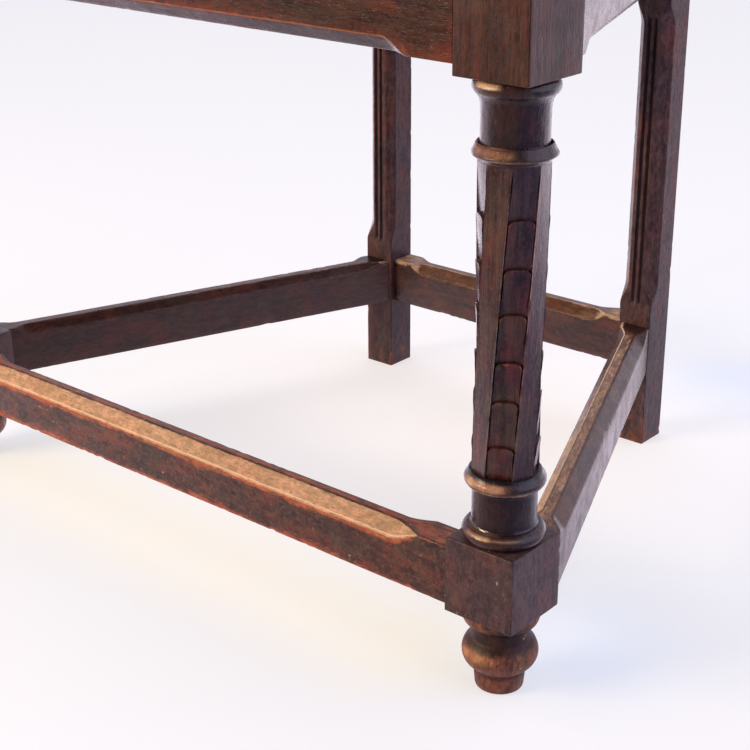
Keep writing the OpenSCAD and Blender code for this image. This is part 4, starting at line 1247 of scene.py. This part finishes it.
@dataclass
class BarRing:
    """The stretchers and the seat rails, four at each of two heights."""

    works: OakWorks
    front_x: float = FRONT_X
    back_x: float = BACK_X
    depth_y: float = DEPTH_Y
    post: float = POST
    block: float = BLOCK
    thick: float = 23.5
    front_inset: float = 3.2
    back_inset: float = 0.3
    low: float = 58.3
    low_high: float = 39.7
    low_rise: float = 5.2
    rail: float = 388.0
    rail_high: float = 58.0
    rail_drop: float = 11.0

    def side_line(self) -> Place:
        """Start, turn and length of a side bar's outer face line.

        Returns:
            The outer face's place at the front block, its turn in radians from X,
            and its length to the back post.
        """
        x0 = self.front_x + self.block / 2 - self.front_inset
        x1 = self.back_x + self.post / 2 - self.back_inset
        run = self.depth_y - self.post / 2 - self.block / 2
        splay = math.atan((x0 - x1) / run)
        return x0, math.pi / 2 + splay, run / math.cos(splay)

    def finish_bar(self, name: str, bar: SquareBar, frame: Frame, s: Surface, arris: Array,
                   grain: Grain, shift: float, finish: str = "bar") -> None:
        """Places a bar's surface, weathers it and makes the piece.

        Args:
            name: CAD node of the bar.
            bar: Its sizes and its seed.
            frame: Its place in the chair.
            s: Its surface, in the bar's own frame.
            arris: Mask of its arrises.
            grain: Direction of its grain.
            shift: Distance in metres that sets its figure apart from other bars'.
            finish: Key of its finish.
        """
        s.points = frame.place(s.points, bar.length)
        s.weather(arris, bar.seed, bar.swell, bar.nick)
        make_piece(s, name + "_oak", BAR_SHARP, self.works.material(finish, grain, shift), name)

    def front_stretcher(self) -> None:
        """Makes the front stretcher: its foot-worn front chamfer bare and pale, the paleness partly a painted
        reflection, and a painted highlight line along the chamfer's lower part.
        """
        # The ends run into the blocks' eased arrises, so that the joints close
        half = self.front_x - self.block / 2 + BLOCK_EASE
        bar = SquareBar(2 * half, self.thick, self.low_high, {
            Spot.OUTER_HIGH: [Chamfer(15, 2 * half - 15, 9.4, 32)],
            Spot.INNER_HIGH: [Chamfer(19, 2 * half - 19, 7.0, 24)],
        }, seed=11, rounding=1.6)
        s, _, arris, cut, place = bar.surface()
        front_cut = cut * (place == Spot.OUTER_HIGH)
        ragged = layered_noise(s.points * np.array([0.3, 1, 1]), 9.0, 61)
        along = cut.max(axis=1, keepdims=True)
        # Past 1 the bare mark on the chamfer's lower part paints a pale highlight line
        lower = np.cumsum(place == Spot.OUTER_HIGH) > 9
        s.bare = unit(front_cut * (0.8 + 0.5 * ragged)) + 0.45 * lower * front_cut * smooth(along * 3 - 2)
        z = s.points[..., 2]
        face = place == Spot.OUTER_FACE
        low_edge = unit(1 - z / 11.0) * face
        high_edge = unit(1 - (self.low_high - 9.4 - z) / 9.0) * face * smooth(along * 8 - 7)
        slow = layered_noise(s.points, 46.0, 67, 2)
        s.rub = unit(s.rub + 0.62 * low_edge * smooth((slow - 0.3) / 0.4))
        s.rub = unit(s.rub + 0.62 * high_edge * smooth((slow - 0.5) / 0.25))
        rim = (arris > 0) & ((place == Spot.OUTER_LOW) | (place == Spot.OUTER_HIGH))
        s.rub = np.where(rim, 0.3 + 0.3 * along * (z < self.low_high - 4), s.rub)
        s.rub = np.maximum(s.rub, 0.55 * (place == Spot.TOP))
        frame = Frame((-half, -self.block / 2, self.low))
        self.finish_bar("front_stretcher", bar, frame, s, arris, Grain.ACROSS, 0.2, "front")

    def back_stretcher(self) -> None:
        """Makes the back stretcher, worn light along its top, with painted highlights on its lamb's tongues and its
        top outer arris.
        """
        half = self.back_x - self.post / 2
        chamfer = Chamfer(10, 2 * half - 10)
        both = {Spot.OUTER_HIGH: [chamfer], Spot.INNER_HIGH: [chamfer]}
        bar = SquareBar(2 * half, self.thick, self.low_high, both, seed=23)
        s, x, arris, cut, place = bar.surface()
        near_post = near_ends(x, 2 * half, 55, 40)
        deep = chamfer.leg(x) / chamfer.width
        stop = 4 * deep * (1 - deep)
        sloping, top = cut * (place == Spot.OUTER_HIGH), place == Spot.TOP
        s.rub = unit(s.rub + 0.4 * deep * sloping + (0.3 + 0.4 * near_post) * top)
        # Bare wood near the posts and at the lamb's tongues, partly painted highlight
        s.bare = 0.6 * near_post * top + (0.16 * deep + 0.55 * stop) * sloping
        # A pale line along the top outer arris: painted highlight
        rim = (arris > 0.9) & (place == Spot.OUTER_HIGH) & (s.points[..., 2] > self.low_high - 1.2)
        s.bare = np.where(rim, 0.7, s.bare)
        y = self.depth_y + self.post / 2 - self.thick
        frame = Frame((-half, y, self.low + self.low_rise))
        self.finish_bar("back_stretcher", bar, frame, s, arris, Grain.ACROSS, 0.5)

    def side_bar(self, name: str, mirror: bool, high: bool) -> None:
        """Makes a side stretcher or side rail.

        Args:
            name: CAD node of the bar.
            mirror: Whether it is the left-hand one.
            high: Whether it is the seat rail rather than the stretcher.
        """
        x0, turn, length = self.side_line()
        splay = turn - math.pi / 2
        cuts = {Spot.OUTER_HIGH: [Chamfer(9, length - 3, 8.4)], Spot.INNER_HIGH: [Chamfer(16, length - 1, 6.5)]}
        if high:
            cuts = {Spot.OUTER_LOW: [Chamfer(18, length - 18)]}
        tall = self.rail_high if high else self.low_high
        bar = SquareBar(length, self.thick, tall, cuts, seed=37 + 6 * mirror + 12 * high)
        s, x, arris, cut, place = bar.surface()
        if not high:
            top = place == Spot.TOP
            side = 0.3 if mirror else 1.0
            trodden = top * (1 - near_ends(x, length, 14, 22))
            inner = cut * (place == Spot.INNER_HIGH) * unit(1.15 - x / length)
            s.rub = unit(s.rub + side * (0.55 * trodden + 0.35 * inner))
            s.bare = side * (0.4 * trodden + 0.62 * inner)
            # A pale line along the inner chamfer's top arris, strongest towards the back: painted highlight
            line = (place == Spot.INNER_HIGH) & (arris > 0.9) & (s.points[..., 2] > tall - 1.4)
            s.bare = np.where(line, side * np.clip(0.75 + 0.6 * x / length, 0, 1.4), s.bare)
            # The top darkens towards the back post: dirt and painted shade
            s.grime = 0.75 * top * unit((x - length + 26) / 14)
        frame = Frame(
            (x0, self.block / 2, self.rail if high else self.low), turn, mirror, math.tan(splay),
            0.0 if high else self.low_rise, self.rail_drop if high else 0.0, tall,
        )
        grain = Grain.LEFT_SIDE if mirror else Grain.RIGHT_SIDE
        self.finish_bar(name, bar, frame, s, arris, grain, 0.7 if mirror else 0.1)

    def rails(self) -> None:
        """Makes the front and the back seat rail."""
        half = self.front_x - self.block / 2
        cuts = {Spot.OUTER_LOW: [Chamfer(28, 2 * half - 28, 9.0)]}
        front = SquareBar(2 * half, self.thick, self.rail_high, cuts, seed=71)
        s, _, arris, cut, place = front.surface()
        s.grime = 0.45 * cut * (place == Spot.OUTER_LOW)
        rim = (arris > 0.9) & (place == Spot.OUTER_LOW) & (s.points[..., 2] > 4)
        s.rub = np.where(rim, 0.6 * cut.max(axis=1, keepdims=True), s.rub)
        frame = Frame((-half, -self.block / 2, self.rail))
        self.finish_bar("front_rail", front, frame, s, arris, Grain.ACROSS, 1.1, "rail")
        half = self.back_x - self.post / 2
        back = SquareBar(2 * half, self.thick, self.rail_high, {}, seed=79)
        s, _, arris, _, _ = back.surface()
        y = self.depth_y + self.post / 2 - self.thick
        self.finish_bar("back_rail", back, Frame((-half, y, self.rail)), s, arris, Grain.ACROSS, 1.4)

    def build(self) -> None:
        """Makes all eight bars."""
        self.front_stretcher()
        self.back_stretcher()
        self.side_bar("side_stretcher_right", False, False)
        self.side_bar("side_stretcher_left", True, False)
        self.rails()
        self.side_bar("side_rail_right", False, True)
        self.side_bar("side_rail_left", True, True)


@dataclass
class BackPost(Post):
    """A square back post: upright below the seat, leaning back above it."""

    kind: ClassVar[str] = "back_post"
    gap: float = BACK_X
    depth: float = DEPTH_Y
    width: float = POST
    bend: float = 446.0
    rake: float = 6.0
    upper: float = 650.0
    flute: float = 1.45
    flute_gap: float = 2.8

    def lean(self, s: Array, across: Array) -> tuple[Array, Array]:
        """Follows the post's bent middle line.

        Below the bend the line is upright; above it, it leans by the rake, and the
        section turns by half the rake at the bend itself.

        Args:
            s: Distance along the post in mm.
            across: Distance in mm behind the middle line.

        Returns:
            Y and Z in mm.
        """
        a = math.radians(self.rake)
        up = np.maximum(s - self.bend, 0)
        turn = a * smooth((s - self.bend + 3) / 6)
        y = self.depth + math.sin(a) * up + across * np.cos(turn)
        z = np.minimum(s, self.bend) + math.cos(a) * up - across * np.sin(turn)
        return y, z

    def build(self) -> None:
        """Makes the post with its chamfers, flutes and worn foot."""
        w, up = self.width, self.bend
        # Stood on end, the bar's outer face is the post's front, its low side the
        # chair's outside and its high side the inside
        bar = SquareBar(up + self.upper, w, w, {
            Spot.OUTER_LOW: [
                Chamfer(117, 366), Chamfer(up + 46, up + 190, 6.5), Chamfer(up + 262, up + 634, 6.5),
            ],
            Spot.OUTER_HIGH: [Chamfer(117, 366, 7.2 if self.side > 0 else 6.0)],
        }, seed=83 + self.side, across=27, ease=0.5)
        s, x, arris, _, place = bar.surface()
        # Bar's Y, from 0 to the width, runs back; its Z runs across the chair
        back, wide = s.points[..., 1], s.points[..., 2] - w / 2
        spans = [(123, 350), (up + 56, up + 182), (up + 272, up + 624)]
        runs = np.maximum.reduce([np.minimum(x - a, b - x) for a, b in spans])
        ended = 1 - unit(-runs / self.flute) ** 2
        off = np.abs(np.abs(wide) - self.flute_gap)
        hollow = np.sqrt(np.maximum(self.flute**2 * ended - off**2, 0)) * (place == Spot.OUTER_FACE)
        # The flutes are darkened, and the sides towards +X, low down above all, carry painted shade
        right = np.abs(wide + self.side * w / 2) < 0.6
        s.grime = np.maximum(0.9 * hollow / self.flute, right * (0.2 + 0.16 * smooth((140 - x) / 60)))
        low = unit(1 - x / 70)
        s.rub = unit(s.rub * 0.5 + 0.4 * low**1.5 + 0.1 * arris * low)
        y, z = self.lean(x, back + hollow - w / 2)
        s.points = np.stack([self.side * (self.gap - wide), y, z], -1)
        s.weather(arris, bar.seed, bar.swell, bar.nick)
        s.points[..., 2] = np.maximum(s.points[..., 2], 0.0)
        self.finish(s, "oak", BAR_SHARP, "leg", 1.7 + self.side)


@dataclass
class KeptNode:
    """A CAD node whose own shape stays, with eased arrises and a finish."""

    name: str
    finish: str
    grain: Grain
    shift: float = 0.0
    ease: float = 0.9

    def dress(self, obj: bpy.types.Object, works: OakWorks) -> None:
        """Welds the node's faces, eases its arrises and gives it its oak.

        Args:
            obj: The node's object.
            works: Source of the materials.
        """
        obj.data.materials.clear()
        for edge in (False, True):
            obj.data.materials.append(works.material(self.finish, self.grain, self.shift, edge))
        weld = obj.modifiers.new("weld", "WELD")
        weld.merge_threshold = 0.01 * MM
        bevel = obj.modifiers.new("eased_arrises", "BEVEL")
        bevel.width = self.ease * MM
        bevel.segments = 2
        bevel.limit_method = "ANGLE"
        bevel.angle_limit = math.radians(32)
        bevel.use_clamp_overlap = True
        bevel.material = 1
        # Broad faces keep one even normal beside the small ones of the bevels
        even = obj.modifiers.new("even_normals", "WEIGHTED_NORMAL")
        even.weight = 100
        even.keep_sharp = False
        log.info("%s: kept, %s oak", self.name, self.finish)


KEPT = (
    KeptNode("seat_board_front", "seat", Grain.ACROSS, 0.3),
    KeptNode("seat_board_middle", "seat", Grain.ACROSS, 0.8),
    KeptNode("seat_board_back", "seat", Grain.ACROSS, 1.3),
    KeptNode("seat_pegs", "peg", Grain.UP, 0.2, 0.3),
    KeptNode("arm_left", "seat", Grain.BACK, 0.6),
    KeptNode("arm_right", "seat", Grain.BACK, 1.2),
    KeptNode("back_rail_lower", "bar", Grain.ACROSS, 2.0, 0.7),
    KeptNode("back_rail_middle", "bar", Grain.ACROSS, 2.3, 0.7),
    KeptNode("back_rail_top", "bar", Grain.ACROSS, 2.6, 0.7),
    KeptNode("back_panel_lower", "panel", Grain.LEANING, 0.5, 0.4),
    KeptNode("back_panel_upper", "panel", Grain.LEANING, 1.5, 0.4),
    KeptNode("crest", "panel", Grain.ACROSS, 0.9, 0.4),
    KeptNode("finial_left", "turned", Grain.LEANING, 0.4, 0.4),
    KeptNode("finial_right", "turned", Grain.LEANING, 1.4, 0.4),
)


@dataclass(frozen=True)
class PaintedFloorLight:
    """A round pool of painted light on the floor, in metres from its middle; a cool tint makes it a painted shadow.

    All of the tint shows up to the distance whole, and none of it from gone on.
    """

    middle: Place
    whole: float
    gone: float
    painted_tint: Colour

    def over(self, n: Nodes, here: Socket, colour: object) -> Socket:
        """Lays the patch over a colour, at a place on the floor."""
        far = n.add("VectorMath", {0: here, 1: self.middle}, operation="DISTANCE").outputs["Value"]
        return n.blend(n.step(far, self.gone, self.whole), colour, self.painted_tint)


# Painted light on the floor: a warm pool under the chair, a golden one before the front
# stretcher, and painted blue shadows beside the right feet
PAINTED_FLOOR_LIGHTS = (
    PaintedFloorLight((-0.03, 0.08, 0.0), 0.1, 0.36, (1.14, 1.07, 1.01, 1.0)),
    *(PaintedFloorLight((x, -0.2, 0.0), 0.0, 0.09, (1.14, 1.06, 0.9, 1.0)) for x in (-0.2, -0.12, -0.04, 0.04, 0.12, 0.19)),
    *(PaintedFloorLight(spot, 0.0, 0.1, (0.88, 0.95, 1.08, 1.0)) for spot in ((0.29, -0.13, 0.0), (0.14, 0.33, 0.0))),
)


@dataclass(frozen=True)
class Lamp:
    """A soft rectangular light that points at the chair, in metres and watts."""

    name: str
    place: Place
    size: Pair
    power: float
    colour: Place

    def hang(self) -> None:
        """Makes the light."""
        data = bpy.data.lights.new(self.name, "AREA")
        data.shape = "RECTANGLE"
        data.size, data.size_y = self.size
        data.energy = self.power
        data.color = self.colour
        aim = Vector((0.12, 0.0, 0.3)) - Vector(self.place)
        turn = aim.to_track_quat("-Z", "Y").to_matrix().to_4x4()
        new_object(self.name, data).matrix_world = Matrix.Translation(self.place) @ turn


LAMPS = (
    Lamp("warm_left", (-1.15, -2.05, 0.95), (1.2, 0.28), 54.0, (1.0, 0.8, 0.58)),
    Lamp("cool_right", (2.3, 0.5, 1.3), (2.6, 2.6), 44.0, (0.7, 0.72, 1.0)),
)


@dataclass(frozen=True)
class Stage:
    """Floor, room and camera. Angles are in degrees, the lens in mm.

    The lights are what the room gives, the floors what the oak mirrors, and the
    paints what the floor itself shows to the chair and to the camera.
    """

    eye: Place = (0.7455, -0.87082, 0.5500)
    yaw: float = 40.55
    pitch: float = 22.48
    roll: float = -0.31
    lens: float = 74.34
    floor_reach: float = 9.0
    paint: Colour = (0.62, 0.66, 0.76, 1.0)
    seen_paint: Colour = (0.41, 0.415, 0.42, 1.0)
    seen_glow: float = 0.58
    glow: Colour = (1.02, 1.02, 1.03, 1.0)
    white: Colour = (1.0, 1.0, 1.0, 1.0)
    left_light: Colour = (0.2, 0.14, 0.12, 1.0)
    right_light: Colour = (0.14, 0.13, 0.28, 1.0)
    far_light: Colour = (1.1, 1.04, 1.2, 1.0)
    left_floor: Colour = (0.42, 0.33, 0.3, 1.0)
    right_floor: Colour = (0.28, 0.3, 0.6, 1.0)
    far_floor: Colour = (2.1, 1.9, 2.2, 1.0)

    def camera(self) -> None:
        """Puts the camera where the photograph was taken from.

        Its view runs along (-sin yaw cos pitch, cos yaw cos pitch, -sin pitch), and
        the picture is rolled about that line.
        """
        data = bpy.data.cameras.new("camera")
        data.lens = self.lens
        data.sensor_width = 36.0
        data.clip_start, data.clip_end = 0.01, 50.0
        cam = bpy.context.scene.camera = new_object("camera", data)
        yaw, pitch, roll = (math.radians(a) for a in (self.yaw, self.pitch, self.roll))
        turn = Matrix.Rotation(yaw, 4, "Z") @ Matrix.Rotation(math.pi / 2 - pitch, 4, "X")
        cam.matrix_world = Matrix.Translation(self.eye) @ turn @ Matrix.Rotation(roll, 4, "Z")

    def ways(self, n: Nodes, vector: Socket) -> tuple[Socket, Socket]:
        """Shares of a vector along the view and to the right of it, on the level."""
        yaw = math.radians(self.yaw)
        ways = ((-math.sin(yaw), math.cos(yaw), 0.0), (math.cos(yaw), math.sin(yaw), 0.0))
        dots = [n.add("VectorMath", {0: vector, 1: w}, operation="DOT_PRODUCT") for w in ways]
        return dots[0].outputs["Value"], dots[1].outputs["Value"]

    def floor(self) -> None:
        """Lays a wide pale floor that keeps the chair's shadow.

        The camera sees it paint itself and glow a little, with painted pools of light and
        shadow in the glow; glossy rays see a plain floor, dark on the near side and bright far
        behind the chair.
        """
        mesh = bpy.data.meshes.new("floor")
        r = self.floor_reach
        mesh.from_pydata([(-r, -r, 0), (r, -r, 0), (r, r, 0), (-r, r, 0)], [], [(0, 1, 2, 3)])
        mat = bpy.data.materials.new("pale_floor")
        n = new_tree(mat)
        rays = n.add("LightPath").outputs
        camera = rays["Is Camera Ray"]
        here = n.add("TexCoord").outputs["Object"]
        painted_tint = self.glow
        for patch in PAINTED_FLOOR_LIGHTS:
            painted_tint = patch.over(n, here, painted_tint)
        both = n.add("AddShader", {
            0: n.add("BsdfDiffuse", {"Color": n.blend(camera, self.paint, self.seen_paint)}).outputs[0],
            1: n.add("Emission", {"Color": painted_tint, "Strength": n.times(camera, self.seen_glow)}).outputs[0],
        })
        along, aside = self.ways(n, here)
        near = n.blend(n.step(aside, -0.7, 0.9), self.left_floor, self.right_floor)
        mirrored = n.add("Emission", {"Color": n.blend(n.step(along, -0.6, 0.35), near, self.far_floor)})
        n.close("Material", n.mix(rays["Is Glossy Ray"], both, mirrored))
        mesh.materials.append(mat)
        new_object("floor", mesh)

    def world(self) -> None:
        """Fills the room with soft light, white where the camera sees it.

        The room is bright behind the chair and dim behind the camera: its light runs
        from near to far as the sky direction's share along the view goes up.
        """
        world = bpy.context.scene.world = bpy.data.worlds.new("room")
        n = new_tree(world)
        along, aside = self.ways(n, n.add("TexCoord").outputs["Generated"])
        near = n.blend(n.step(aside, -0.6, 0.6), self.left_light, self.right_light)
        room = n.blend(n.step(along, -0.4, 0.55), near, self.far_light)
        soft, white = (n.add("Background", {"Color": c, "Strength": 1.0}) for c in (room, self.white))
        n.close("World", n.mix(n.add("LightPath").outputs["Is Camera Ray"], soft, white))

    def build(self) -> None:
        """Sets the whole stage."""
        self.camera()
        self.floor()
        for lamp in LAMPS:
            lamp.hang()
        self.world()
        bpy.context.scene.view_settings.view_transform = "Standard"


def main() -> None:
    """Loads the frame, builds and dresses the chair piece by piece, and sets the stage."""
    logging.basicConfig(level=logging.INFO, format="%(name)s: %(message)s")
    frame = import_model()
    works = OakWorks()
    Stage().build()
    for side in (1, -1):
        FrontPost(side, works).build()
        BackPost(side, works).build()
    BarRing(works).build()
    for kept in KEPT:
        kept.dress(frame["nodes"][kept.name], works)


if __name__ == "__main__":
    main()
